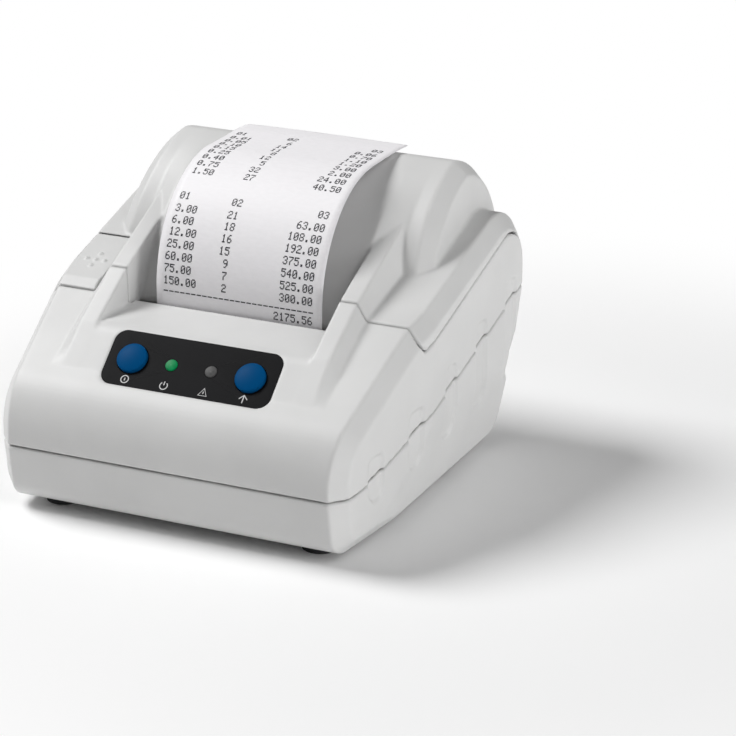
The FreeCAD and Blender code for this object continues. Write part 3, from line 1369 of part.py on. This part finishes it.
def make_fasteners():
    piece("case_screws", group("case_screw_set", *[
        screw("case_screw_" + tag, x, y, "screw_seat_z",
              f"{SEAM_AT_SCREW[y]} + boss_round / 2 + screw_bite - screw_seat_z - 1", False)
        for tag, x, y in CASE_SCREWS]))
    piece("frame_screws", group("frame_screw_set", *[
        screw("frame_screw_" + tag, x, y, "frame_foot_z + frame_thick", "frame_thick + screw_bite", True)
        for tag, x, y in FRAME_POSTS]))
    piece("board_screws", group("board_screw_set", *[
        screw("board_screw_" + tag, x, y, "main_board_z + board_thick", "board_thick + 3", True)
        for tag, x, y in BOARD_POSTS]))
    heads = []
    for tag, x in BRACKET_SCREWS:
        head = rod("bracket_head_" + tag, "Y", "screw_head", (x, "bracket_back_y", "bracket_screw_z"),
                   "screw_head_height")
        shank = rod("bracket_shank_" + tag, "Y", "screw_round",
                    (x, "bracket_back_y - bracket_screw_length", "bracket_screw_z"), "bracket_screw_length")
        heads.append(fuse("bracket_screw_" + tag, head, shank))
    piece("bracket_screws", group("bracket_screw_set", *heads))
    piece("rubber_feet", group("foot_set", *[
        rod("foot_" + tag, "Z", "foot_round - seam_gap / 2", (x, y, "0"), "foot_height + foot_sink")
        for tag, x, y in FEET]))
    pins = []
    for tag, start in (("left", "-knuckle_half - seam_gap - ear_width"),
                       ("right", "knuckle_half - hinge_pin_bite")):
        pins.append(rod("hinge_pin_" + tag, "X", "hinge_pin_round", (start, "hinge_y", "hinge_z"),
                        "ear_width + seam_gap + hinge_pin_bite"))
    piece("hinge_pins", group("hinge_pin_pair", *pins))


def main():
    lower, upper, cover = split_casing()
    make_lower_case(lower)
    make_upper_case(upper)
    make_cover(cover)
    make_lever()
    make_panel()
    make_mechanism()
    make_paper()
    make_electronics()
    make_fasteners()


def write_parts():
    DOC.recompute()
    for item in DOC.Objects:
        bad = {"Invalid", "Error"} & set(item.State)
        if bad:
            raise RuntimeError(f"{item.Label} is {item.State}")
    for label, item in PARTS.items():
        if item.Shape.isNull() or not item.Shape.isValid():
            raise RuntimeError(f"{label} has no valid shape")
    os.makedirs("parts", exist_ok=True)
    for label, item in PARTS.items():
        item.Shape.exportStep(f"parts/{label}.step")


main()
write_parts()
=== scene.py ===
"""Looks of the receipt printer: materials, soft edges, paper, panel marks, floor, light and camera."""

import json
import math

import bmesh
import bpy
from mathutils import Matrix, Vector


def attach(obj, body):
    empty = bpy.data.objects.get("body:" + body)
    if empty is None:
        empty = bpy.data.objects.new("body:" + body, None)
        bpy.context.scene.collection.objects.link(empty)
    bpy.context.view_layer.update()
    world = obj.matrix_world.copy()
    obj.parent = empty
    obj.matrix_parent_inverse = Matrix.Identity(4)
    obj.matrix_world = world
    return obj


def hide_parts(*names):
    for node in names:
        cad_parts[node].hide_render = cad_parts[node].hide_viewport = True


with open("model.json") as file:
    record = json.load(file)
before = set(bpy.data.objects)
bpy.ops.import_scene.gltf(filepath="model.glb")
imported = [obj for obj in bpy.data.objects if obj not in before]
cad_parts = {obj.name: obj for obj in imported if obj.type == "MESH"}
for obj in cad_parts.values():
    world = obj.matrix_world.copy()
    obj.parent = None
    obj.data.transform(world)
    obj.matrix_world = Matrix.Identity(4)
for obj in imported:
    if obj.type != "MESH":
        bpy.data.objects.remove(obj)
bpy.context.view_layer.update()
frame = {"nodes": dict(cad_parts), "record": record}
NODES = frame["nodes"]
MM = 0.001


# Materials
def new_material(name):
    """A node material, its tree and its shader."""
    mat = bpy.data.materials.new(name)
    mat.use_nodes = True
    shader = mat.node_tree.nodes["Principled BSDF"]
    return mat, mat.node_tree, shader


def add(tree, kind, **values):
    """Adds a node; each value goes to the input of that name, or else to the property."""
    node = tree.nodes.new(kind)
    for key, value in values.items():
        if key in node.inputs:
            node.inputs[key].default_value = value
        else:
            setattr(node, key, value)
    return node


def noise(tree, coords, scale, detail=2.0, rough=0.5, stretch=None):
    """A noise on the given coordinates, stretched where asked."""
    tex = add(tree, "ShaderNodeTexNoise", Scale=scale, Detail=detail, Roughness=rough)
    if stretch:
        mapping = add(tree, "ShaderNodeMapping", Scale=stretch)
        tree.links.new(coords, mapping.inputs["Vector"])
        coords = mapping.outputs["Vector"]
    tree.links.new(coords, tex.inputs["Vector"])
    return tex.outputs["Fac"]


def spread(tree, fac, low, high, start=0.3, end=0.7):
    """Maps a noise to a range of values."""
    node = add(tree, "ShaderNodeMapRange")
    node.inputs["From Min"].default_value = start
    node.inputs["From Max"].default_value = end
    node.inputs["To Min"].default_value = low
    node.inputs["To Max"].default_value = high
    tree.links.new(fac, node.inputs["Value"])
    return node.outputs["Result"]


def two_tone(tree, fac, dark, light, start=0.35, end=0.65):
    """A colour between two tones."""
    ramp = add(tree, "ShaderNodeValToRGB")
    ramp.color_ramp.elements[0].position = start
    ramp.color_ramp.elements[0].color = (*dark, 1)
    ramp.color_ramp.elements[1].position = end
    ramp.color_ramp.elements[1].color = (*light, 1)
    tree.links.new(fac, ramp.inputs["Fac"])
    return ramp.outputs["Color"]


def bump(tree, shader, height, strength, distance, normal=None):
    """Puts a relief on the shader's normal."""
    node = add(tree, "ShaderNodeBump", Strength=strength, Distance=distance)
    tree.links.new(height, node.inputs["Height"])
    if normal is not None:
        tree.links.new(normal, node.inputs["Normal"])
    tree.links.new(node.outputs["Normal"], shader.inputs["Normal"])


def plastic(name, colour, rough, grain=0.25, grain_size=2600.0, shade=0.035, soft_edge=0.0, gloss=0.5):
    """Moulded plastic: faint cloudiness, a fine eroded grain and a roughness that wanders."""
    mat, tree, shader = new_material(name)
    coords = add(tree, "ShaderNodeTexCoord").outputs["Object"]
    cloud = noise(tree, coords, 38.0, 4.0)
    dark = tuple(c * (1 - shade) for c in colour)
    light = tuple(min(1.0, c * (1 + shade * 0.5)) for c in colour)
    tree.links.new(two_tone(tree, cloud, dark, light), shader.inputs["Base Color"])
    fine = noise(tree, coords, grain_size, 3.0, 0.6)
    tree.links.new(spread(tree, fine, rough - 0.05, rough + 0.07), shader.inputs["Roughness"])
    normal = None
    if soft_edge:
        edge = add(tree, "ShaderNodeBevel", Radius=soft_edge)
        edge.samples = 4
        normal = edge.outputs["Normal"]
    bump(tree, shader, fine, grain, 0.00006, normal)
    shader.inputs["Specular IOR Level"].default_value = gloss
    return mat


def metal(name, colour, rough, stretch=(1, 40, 40)):
    """Drawn or brushed metal: long fine lines that break up the gloss."""
    mat, tree, shader = new_material(name)
    coords = add(tree, "ShaderNodeTexCoord").outputs["Object"]
    lines = noise(tree, coords, 160.0, 4.0, 0.6, stretch)
    dark = tuple(c * 0.82 for c in colour)
    tree.links.new(two_tone(tree, lines, dark, colour), shader.inputs["Base Color"])
    tree.links.new(spread(tree, lines, rough - 0.08, rough + 0.1), shader.inputs["Roughness"])
    shader.inputs["Metallic"].default_value = 1.0
    bump(tree, shader, lines, 0.15, 0.00005)
    return mat


def rubber(name, colour):
    """A dull mottled surface: rubber or card."""
    mat, tree, shader = new_material(name)
    coords = add(tree, "ShaderNodeTexCoord").outputs["Object"]
    fine = noise(tree, coords, 900.0, 5.0, 0.65)
    dark = tuple(c * 0.6 for c in colour)
    tree.links.new(two_tone(tree, fine, dark, colour), shader.inputs["Base Color"])
    tree.links.new(spread(tree, fine, 0.7, 0.9), shader.inputs["Roughness"])
    bump(tree, shader, fine, 0.4, 0.0001)
    return mat


def paper(name, colour):
    """Coated thermal paper: fibre mottle and a soft sheen."""
    mat, tree, shader = new_material(name)
    coords = add(tree, "ShaderNodeTexCoord").outputs["Object"]
    fibre = noise(tree, coords, 420.0, 6.0, 0.6, (1, 2.5, 2.5))
    dark = tuple(c * 0.965 for c in colour)
    tree.links.new(two_tone(tree, fibre, dark, colour), shader.inputs["Base Color"])
    tree.links.new(spread(tree, fibre, 0.48, 0.62), shader.inputs["Roughness"])
    bump(tree, shader, fibre, 0.12, 0.00008)
    return mat


def wound(name, colour, centre):
    """A roll of paper: the rings of its layers show on its ends."""
    mat, tree, shader = new_material(name)
    coords = add(tree, "ShaderNodeTexCoord").outputs["Object"]
    place = add(tree, "ShaderNodeMapping", Location=tuple(-c for c in centre))
    tree.links.new(coords, place.inputs["Vector"])
    rings = add(tree, "ShaderNodeTexWave", wave_type="RINGS", rings_direction="X", Scale=520.0,
                Distortion=1.2)
    tree.links.new(place.outputs["Vector"], rings.inputs["Vector"])
    dark = tuple(c * 0.86 for c in colour)
    tint = two_tone(tree, rings.outputs["Fac"], dark, colour, 0.1, 0.9)
    tree.links.new(tint, shader.inputs["Base Color"])
    fibre = noise(tree, coords, 420.0, 6.0, 0.6)
    tree.links.new(spread(tree, fibre, 0.48, 0.62), shader.inputs["Roughness"])
    bump(tree, shader, rings.outputs["Fac"], 0.25, 0.00005)
    return mat


def ink(name, colour):
    """Thermal print: dots that come out a little uneven."""
    mat, tree, shader = new_material(name)
    coords = add(tree, "ShaderNodeTexCoord").outputs["Object"]
    patch = noise(tree, coords, 1500.0, 3.0)
    pale = tuple(min(1.0, c * 2.2 + 0.03) for c in colour)
    tree.links.new(two_tone(tree, patch, colour, pale, 0.5, 0.85), shader.inputs["Base Color"])
    tree.links.new(spread(tree, patch, 0.5, 0.65), shader.inputs["Roughness"])
    return mat


def lens(name, colour, glow):
    """A small moulded light with a soft gloss; a lit one glows a little."""
    mat, tree, shader = new_material(name)
    coords = add(tree, "ShaderNodeTexCoord").outputs["Object"]
    cloud = noise(tree, coords, 700.0, 3.0)
    dark = tuple(c * 0.75 for c in colour)
    tint = two_tone(tree, cloud, dark, colour)
    tree.links.new(tint, shader.inputs["Base Color"])
    tree.links.new(spread(tree, cloud, 0.38, 0.5), shader.inputs["Roughness"])
    shader.inputs["Specular IOR Level"].default_value = 0.15
    if glow:
        tree.links.new(tint, shader.inputs["Emission Color"])
        shader.inputs["Emission Strength"].default_value = glow
    return mat


CASING = (0.69, 0.69, 0.685)
MATERIALS = {
    "casing": plastic("casing_plastic", CASING, 0.46, soft_edge=0.0009),
    "cover": plastic("cover_plastic", CASING, 0.46, soft_edge=0.0009),
    "lever": plastic("lever_plastic", CASING, 0.46, soft_edge=0.0006),
    "overlay": plastic("overlay_film", (0.0065, 0.0065, 0.0075), 0.42, grain=0.12, grain_size=3800.0,
                       shade=0.2, gloss=0.05),
    "keys": plastic("key_plastic", (0.0, 0.07, 0.21), 0.45, grain=0.05, shade=0.08, soft_edge=0.0005,
                    gloss=0.03),
    "green_lens": lens("lit_lens", (0.0, 0.2, 0.06), 0.3),
    "grey_lens": lens("dark_lens", (0.09, 0.09, 0.09), 0.0),
    "board": plastic("board_lacquer", (0.015, 0.13, 0.05), 0.35, shade=0.2),
    "dark_plastic": plastic("dark_moulding", (0.018, 0.018, 0.02), 0.5, shade=0.15),
    "steel": metal("sheet_steel", (0.56, 0.56, 0.57), 0.34),
    "aluminium": metal("head_aluminium", (0.68, 0.68, 0.69), 0.4),
    "rubber": rubber("black_rubber", (0.03, 0.03, 0.032)),
    "paper": paper("thermal_paper", (0.93, 0.915, 0.935)),
    "cardboard": rubber("core_card", (0.42, 0.31, 0.2)),
    "white_plastic": plastic("natural_acetal", (0.74, 0.73, 0.69), 0.4),
    "brass": metal("turned_brass", (0.70, 0.53, 0.24), 0.3, (40, 1, 1)),
}
ROLL_CENTRE = (0.0, 32.5 * MM, 58.0 * MM)
SKIN_STEP = {"lower_case": 0.45, "upper_case": 0.45, "top_cover": 0.45, "release_lever": 0.25}
SLOT_OF = {entry["node"]: entry["material_slot"] for entry in frame["record"]["subparts"]}


def dress_nodes():
    """Gives every CAD node its material and soft edges."""
    for name, obj in NODES.items():
        obj.data.materials.clear()
        obj.data.materials.append(MATERIALS[SLOT_OF[name]])
        weld = obj.modifiers.new("weld", "WELD")
        weld.merge_threshold = 0.00001
        if name in SKIN_STEP:
            soften(obj, SKIN_STEP[name] * MM)
        else:
            edge = obj.modifiers.new("edge", "BEVEL")
            edge.width = 0.12 * MM
            edge.segments = 2
            edge.limit_method = "ANGLE"
            edge.angle_limit = math.radians(35)
            shade_smooth(obj)


def shade_smooth(obj):
    """Smooth shading that follows the larger faces."""
    for poly in obj.data.polygons:
        poly.use_smooth = True
    normal = obj.modifiers.new("normals", "WEIGHTED_NORMAL")
    normal.keep_sharp = True


def soften(obj, step):
    """Rounds a moulding's edges: a fine even skin, then a light relaxing of it."""
    skin = obj.modifiers.new("skin", "REMESH")
    skin.mode = "VOXEL"
    skin.voxel_size = step
    skin.use_smooth_shade = True
    relax = obj.modifiers.new("relax", "SMOOTH")
    relax.factor = 0.5
    relax.iterations = 6


dress_nodes()
NODES["paper_roll"].data.materials[0] = wound("wound_paper", (0.9, 0.885, 0.9), ROLL_CENTRE)


# The printed paper end; sizes in mm
PAPER_WIDTH = 57.0
PAPER_HALF = PAPER_WIDTH / 2
PAPER_FACE = 0.05
PATH_STEP = 0.5
CURL = 0.35
RIPPLE = 0.1
SLOT_Y = -15.05
FOOT_Z = 52.2
BEND_Z = 60.2
BEND_R = 37.0
RUN = 18.0
CREST_R = 60.0
DROP = math.radians(3.0)
TAIL = 6.0


def paper_path():
    """Points (y, z, heading) of the paper's middle, at even steps from the slot to the free end."""
    y, z, heading = SLOT_Y, FOOT_Z, math.pi / 2
    bend_start = BEND_Z - FOOT_Z
    bend_end = bend_start + BEND_R * math.pi / 2
    crest_start = bend_end + RUN
    crest_end = crest_start + CREST_R * DROP
    points = [(y, z, heading)]
    for number in range(int((crest_end + TAIL) / PATH_STEP)):
        middle = (number + 0.5) * PATH_STEP
        turn = 0.0
        if bend_start < middle < bend_end:
            turn = PATH_STEP / BEND_R
        elif crest_start < middle < crest_end:
            turn = PATH_STEP / CREST_R
        y += PATH_STEP * math.cos(heading - turn / 2)
        z += PATH_STEP * math.sin(heading - turn / 2)
        heading -= turn
        points.append((y, z, heading))
    return points


PATH = paper_path()
PAPER_LENGTH = PATH_STEP * (len(PATH) - 1)


def on_paper(x, s, lift):
    """A point on the printed end: x across, s along it from the slot, lifted off its middle."""
    place = min(max(s / PATH_STEP, 0.0), len(PATH) - 1.001)
    index = int(place)
    part = place - index
    y0, z0, h0 = PATH[index]
    y1, z1, h1 = PATH[index + 1]
    y, z, h = y0 + (y1 - y0) * part, z0 + (z1 - z0) * part, h0 + (h1 - h0) * part
    free = max(0.0, s / PAPER_LENGTH - 0.1)
    lift -= CURL * free * (x / PAPER_HALF) ** 2 + RIPPLE * free * (1 + math.sin(s * 0.21 + x * 0.05))
    return Vector((x, y - lift * math.sin(h), z + lift * math.cos(h))) * MM


def mesh_object(name, verts, faces, mat, smooth=True):
    """A new object from points and faces."""
    mesh = bpy.data.meshes.new(name)
    mesh.from_pydata([tuple(v) for v in verts], [], faces)
    mesh.validate()
    for poly in mesh.polygons:
        poly.use_smooth = smooth
    mesh.materials.append(mat)
    obj = bpy.data.objects.new(name, mesh)
    bpy.context.scene.collection.objects.link(obj)
    return obj


def thin_sheet(name, place, length):
    """A thin closed sheet as wide as the paper; place(x, s, lift) gives its points."""
    across = 24
    along = round(length / PATH_STEP)
    verts = []
    for lift in (PAPER_FACE, -PAPER_FACE):
        for row in range(along + 1):
            for column in range(across + 1):
                x = PAPER_WIDTH * column / across - PAPER_HALF
                verts.append(place(x, length * row / along, lift))
    sheet = (along + 1) * (across + 1)

    def at(layer, row, column):
        return layer * sheet + row * (across + 1) + column

    faces = []
    for row in range(along):
        for column in range(across):
            quad = [(row, column), (row, column + 1), (row + 1, column + 1), (row + 1, column)]
            faces.append([at(0, r, c) for r, c in quad])
            faces.append([at(1, r, c) for r, c in reversed(quad)])
    ring = [(0, c) for c in range(across)] + [(r, across) for r in range(along)]
    ring += [(along, c) for c in range(across, 0, -1)] + [(r, 0) for r in range(along, 0, -1)]
    for number, (row, column) in enumerate(ring):
        row2, column2 = ring[(number + 1) % len(ring)]
        faces.append([at(0, row2, column2), at(0, row, column), at(1, row, column), at(1, row2, column2)])
    obj = mesh_object(name, verts, faces, MATERIALS["paper"])
    return obj


def make_paper():
    """The printed end, in place of its solid."""
    obj = thin_sheet("receipt_paper", on_paper, PAPER_LENGTH)
    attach(obj, "cover")
    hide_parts("receipt_strip")
    return obj


# The paper between the roll and the head; sizes in mm
PLATEN_Y, PLATEN_Z = -9.15, 47.5
WRAP_R = 5.9
WEB_ANGLE = math.radians(12.9)
WEB_END_Y = 22.5
WEB_TOP_Z = 51.6
WEB_RUN = (WEB_END_Y - PLATEN_Y + WRAP_R * math.sin(WEB_ANGLE)) / math.cos(WEB_ANGLE)
WEB_WRAP = (math.pi / 2 - WEB_ANGLE) * WRAP_R
WEB_LENGTH = WEB_RUN + WEB_WRAP + WEB_TOP_Z - PLATEN_Z


def on_web(x, s, lift):
    """A point on the inner run of paper: x across, s along it from the roll, lifted off its middle."""
    turned = min(max(s - WEB_RUN, 0.0), WEB_WRAP)
    heading = math.pi - WEB_ANGLE - turned / WRAP_R
    straight = s - WEB_RUN - turned
    reach = lift + WRAP_R
    y = PLATEN_Y - reach * math.sin(heading) + straight * math.cos(heading)
    z = PLATEN_Z + reach * math.cos(heading) + straight * math.sin(heading)
    return Vector((x, y, z)) * MM


def make_web():
    """The inner run, in place of its solid."""
    obj = thin_sheet("paper_run", on_web, WEB_LENGTH)
    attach(obj, "base")
    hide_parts("paper_web")
    return obj


# A small dot font: each row of a glyph says which of its dots are on
GLYPHS = {
    "0": "01110 10001 10011 10101 11001 10001 01110",
    "1": "00100 01100 00100 00100 00100 00100 01110",
    "2": "01110 10001 00001 00110 01000 10000 11111",
    "3": "01110 10001 00001 00110 00001 10001 01110",
    "4": "00010 00110 01010 10010 11111 00010 00010",
    "5": "11111 10000 11110 00001 00001 10001 01110",
    "6": "00110 01000 10000 11110 10001 10001 01110",
    "7": "11111 00001 00010 00100 01000 01000 01000",
    "8": "01110 10001 10001 01110 10001 10001 01110",
    "9": "01110 10001 10001 01111 00001 00010 01100",
    ".": "00000 00000 00000 00000 00000 01100 01100",
    "-": "00000 00000 00000 11111 00000 00000 00000",
}
DOT = 0.3
DOT_PITCH = 1.25 * DOT
DOT_HEIGHT = 1.3 * DOT
DOT_SPREAD = 0.05
LETTER = 6.4 * DOT
ROW = 3.85
END_MARGIN = 1.0
PRINT_LIFTS = (0.085, 0.052)
VALUE_EDGE, COUNT_EDGE, AMOUNT_EDGE = -26.0, -4.0, 25.5
LARGE_START, SMALL_START = 10.2, 48.0
HEAD_GAP = 0.6
RULE_S, TOTAL_S = 6.7, 4.0
RULE_DASHES = 27


def print_rows():
    """Lines of plain figures: (distance from the foot in mm, text, column edge, alignment)."""
    lines = []
    large = [("150.00", "2"), ("75.00", "7"), ("60.00", "9"), ("25.00", "15"), ("12.00", "16"),
             ("6.00", "18"), ("3.00", "21")]
    small = [("1.50", "27"), ("0.75", "32"), ("0.40", "5"), ("0.25", "12"), ("0.15", "8"),
             ("0.10", "11"), ("0.05", "14"), ("0.01", "6")]
    total = 0.0

    def columns(s, value, count, amount):
        lines.append((s, value, VALUE_EDGE, "left"))
        lines.append((s, count, COUNT_EDGE, "right"))
        lines.append((s, amount, AMOUNT_EDGE, "right"))

    for start, block in ((LARGE_START, large), (SMALL_START, small)):
        for number, (value, count) in enumerate(block):
            amount = float(value) * int(count)
            total += amount
            columns(start + number * ROW, value, count, f"{amount:.2f}")
        columns(start + len(block) * ROW + HEAD_GAP, "01", "02", "03")
    lines.append((RULE_S, "-" * RULE_DASHES, VALUE_EDGE, "left"))
    lines.append((TOTAL_S, f"{total:.2f}", AMOUNT_EDGE, "right"))
    return lines


def dot_runs(dots):
    """The first dot and the end of each run of dots that are on."""
    column = 0
    while column < len(dots):
        end = column
        while end < len(dots) and dots[end] == "1":
            end += 1
        if end > column:
            yield column, end
        column = end + 1


def print_bar(verts, faces, x0, x1, s0, s1):
    """One thin raised bar of print on the paper."""
    base = len(verts)
    for lift in PRINT_LIFTS:
        for x, s in ((x0, s0), (x1, s0), (x1, s1), (x0, s1)):
            verts.append(on_paper(x, s, lift))
    faces.append([base, base + 1, base + 2, base + 3])
    faces.append([base + 7, base + 6, base + 5, base + 4])
    for k in range(4):
        j = (k + 1) % 4
        faces.append([base + j, base + k, base + 4 + k, base + 4 + j])


def make_print():
    """The printed figures, as one piece of small bars."""
    verts, faces = [], []
    for s, text, edge, side in print_rows():
        start = edge if side == "left" else edge - LETTER * len(text)
        for place, letter in enumerate(text):
            left = start + place * LETTER
            rows = GLYPHS[letter].split()
            for row, dots in enumerate(rows):
                top = s + (len(rows) - row) * DOT_PITCH
                if top > PAPER_LENGTH - END_MARGIN:
                    continue
                for first, end in dot_runs(dots):
                    print_bar(verts, faces, left + first * DOT, left + end * DOT + DOT_SPREAD,
                              top - DOT_HEIGHT, top)
    print_ink = ink("thermal_print", (0.028, 0.027, 0.034))
    obj = mesh_object("receipt_print", verts, faces, print_ink, False)
    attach(obj, "cover")
    return obj


receipt = make_paper()
figures = make_print()
web = make_web()


# Marks on the panel; sizes in mm
PANEL_Y, PANEL_Z = -46.4, 48.9
PANEL = math.radians(41.3)
MARK = 1.3
MARK_ROW = -7.1
MARK_LOW, MARK_HIGH = 0.14, 0.2
KEY_X, LENS_X = 20.0, 6.7


def on_panel(u, v, w):
    """A point on the sloping panel: across, up the slope and out of it."""
    return Vector((u, PANEL_Y + v * math.cos(PANEL) - w * math.sin(PANEL),
                   PANEL_Z + v * math.sin(PANEL) + w * math.cos(PANEL))) * MM


def stroke(verts, faces, points, width, closed=False):
    """A flat raised line along points on the panel."""
    count = len(points)
    sides = []
    for number, (u, v) in enumerate(points):
        before = points[number - 1] if closed or number else points[number]
        after = points[(number + 1) % count] if closed or number < count - 1 else points[number]
        du, dv = after[0] - before[0], after[1] - before[1]
        size = math.hypot(du, dv) or 1.0
        sides.append((-dv / size * width / 2, du / size * width / 2))
    base = len(verts)
    for (u, v), (nu, nv) in zip(points, sides):
        for sign, w in ((1, MARK_LOW), (1, MARK_HIGH), (-1, MARK_HIGH), (-1, MARK_LOW)):
            verts.append(on_panel(u + sign * nu, v + sign * nv, w))
    last = count if closed else count - 1
    for number in range(last):
        a, b = base + 4 * number, base + 4 * ((number + 1) % count)
        for k in range(4):
            j = (k + 1) % 4
            faces.append([a + k, b + k, b + j, a + j])
    if not closed:
        faces.append([base, base + 1, base + 2, base + 3])
        end = base + 4 * (count - 1)
        faces.append([end + 3, end + 2, end + 1, end])


def circle(radius, start=0.0, end=360.0, count=28):
    """Points on an arc about the sign's centre; angles in degrees."""
    angles = [math.radians(start + (end - start) * k / count) for k in range(count + 1)]
    return [(radius * math.cos(angle), radius * math.sin(angle)) for angle in angles]


def make_marks():
    """Plain signs under the keys and lights: ring with a bar, power sign, warning sign and arrow."""
    verts, faces = [], []

    def sign(u, points, width, closed=False):
        placed = [(u + MARK * x, MARK_ROW + MARK * y) for x, y in points]
        stroke(verts, faces, placed, width, closed)

    sign(-KEY_X, circle(0.95)[:-1], 0.3, True)
    sign(-KEY_X, [(0.0, -0.35), (0.0, 0.35)], 0.34)
    sign(-LENS_X, circle(0.95, 130, 410), 0.3)
    sign(-LENS_X, [(0.0, 0.15), (0.0, 1.1)], 0.3)
    sign(LENS_X, [(-1.1, -0.85), (1.1, -0.85), (0.0, 1.05)], 0.3, True)
    sign(LENS_X, [(0.0, -0.4), (0.0, 0.25)], 0.28)
    sign(KEY_X, [(-1.05, 0.0), (0.0, 1.05), (1.05, 0.0)], 0.32)
    sign(KEY_X, [(0.0, -1.0), (0.0, 0.85)], 0.32)
    mark_ink = plastic("mark_print", (0.62, 0.62, 0.62), 0.5)
    obj = mesh_object("panel_marks", verts, faces, mark_ink, False)
    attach(obj, "base")


make_marks()


# Floor, light and camera
LAMP_TARGET = (0, 0, 0.04)


def make_stage():
    """A pale floor that keeps the shadow and turns white further out."""
    mesh = bpy.data.meshes.new("floor")
    grid = bmesh.new()
    bmesh.ops.create_grid(grid, x_segments=1, y_segments=1, size=6.0)
    grid.to_mesh(mesh)
    grid.free()
    mat, tree, shader = new_material("pale_floor")
    coords = add(tree, "ShaderNodeTexCoord").outputs["Object"]
    cloud = noise(tree, coords, 5.0, 3.0)
    tint = two_tone(tree, cloud, (0.95, 0.95, 0.95), (0.965, 0.965, 0.965))
    tree.links.new(tint, shader.inputs["Base Color"])
    shader.inputs["Roughness"].default_value = 0.9
    shader.inputs["Specular IOR Level"].default_value = 0.1
    white = add(tree, "ShaderNodeEmission", Color=(1, 1, 1, 1), Strength=1.0)
    away = add(tree, "ShaderNodeVectorMath", operation="DISTANCE")
    away.inputs[1].default_value = (0.07, 0.0, 0.0)
    tree.links.new(coords, away.inputs[0])
    fade = add(tree, "ShaderNodeMapRange", interpolation_type="SMOOTHSTEP")
    fade.inputs["From Min"].default_value = 0.12
    fade.inputs["From Max"].default_value = 0.28
    tree.links.new(away.outputs["Value"], fade.inputs["Value"])
    path = add(tree, "ShaderNodeLightPath")
    seen = add(tree, "ShaderNodeMath", operation="MULTIPLY")
    tree.links.new(path.outputs["Is Camera Ray"], seen.inputs[0])
    tree.links.new(fade.outputs["Result"], seen.inputs[1])
    blend = add(tree, "ShaderNodeMixShader")
    tree.links.new(seen.outputs["Value"], blend.inputs["Fac"])
    tree.links.new(shader.outputs["BSDF"], blend.inputs[1])
    tree.links.new(white.outputs["Emission"], blend.inputs[2])
    tree.links.new(blend.outputs["Shader"], tree.nodes["Material Output"].inputs["Surface"])
    mesh.materials.append(mat)
    floor = bpy.data.objects.new("floor", mesh)
    bpy.context.scene.collection.objects.link(floor)


def lamp(name, place, size, power):
    """A round soft lamp turned to the middle of the printer."""
    data = bpy.data.lights.new(name, "AREA")
    data.shape = "DISK"
    data.size = size
    data.energy = power
    obj = bpy.data.objects.new(name, data)
    obj.location = place
    obj.rotation_mode = "QUATERNION"
    obj.rotation_quaternion = (Vector(LAMP_TARGET) - Vector(place)).to_track_quat("-Z", "Y")
    bpy.context.scene.collection.objects.link(obj)


def make_light():
    """A white studio that lights the printer little, and three lamps."""
    world = bpy.data.worlds.new("studio")
    bpy.context.scene.world = world
    world.use_nodes = True
    tree = world.node_tree
    back = tree.nodes["Background"]
    path = add(tree, "ShaderNodeLightPath")
    level = add(tree, "ShaderNodeMapRange")
    level.inputs["To Min"].default_value = 0.09
    level.inputs["To Max"].default_value = 1.0
    tree.links.new(path.outputs["Is Camera Ray"], level.inputs["Value"])
    tree.links.new(level.outputs["Result"], back.inputs["Strength"])
    back.inputs["Color"].default_value = (1, 1, 1, 1)
    lamp("key", (-0.93, -0.07, 1.15), 0.7, 19.0)
    lamp("top", (1.08, -0.3, 1.04), 1.0, 6.0)
    lamp("fill", (1.5, -0.15, 0.17), 0.9, 10.5)


def make_camera():
    """The view of the photograph."""
    data = bpy.data.cameras.new("camera")
    data.lens = 146.74
    data.sensor_width = 36.0
    data.clip_start = 0.05
    data.clip_end = 50.0
    cam = bpy.data.objects.new("camera", data)
    cam.location = (0.39971, -0.78794, 0.37060)
    az, el = math.radians(24.72), math.radians(20.92)
    back = Vector((math.sin(az) * math.cos(el), -math.cos(az) * math.cos(el), math.sin(el)))
    cam.rotation_mode = "QUATERNION"
    cam.rotation_quaternion = (-back).to_track_quat("-Z", "Y")
    bpy.context.scene.collection.objects.link(cam)
    bpy.context.scene.camera = cam


make_stage()
make_light()
make_camera()
bpy.context.scene.view_settings.view_transform = "Standard"
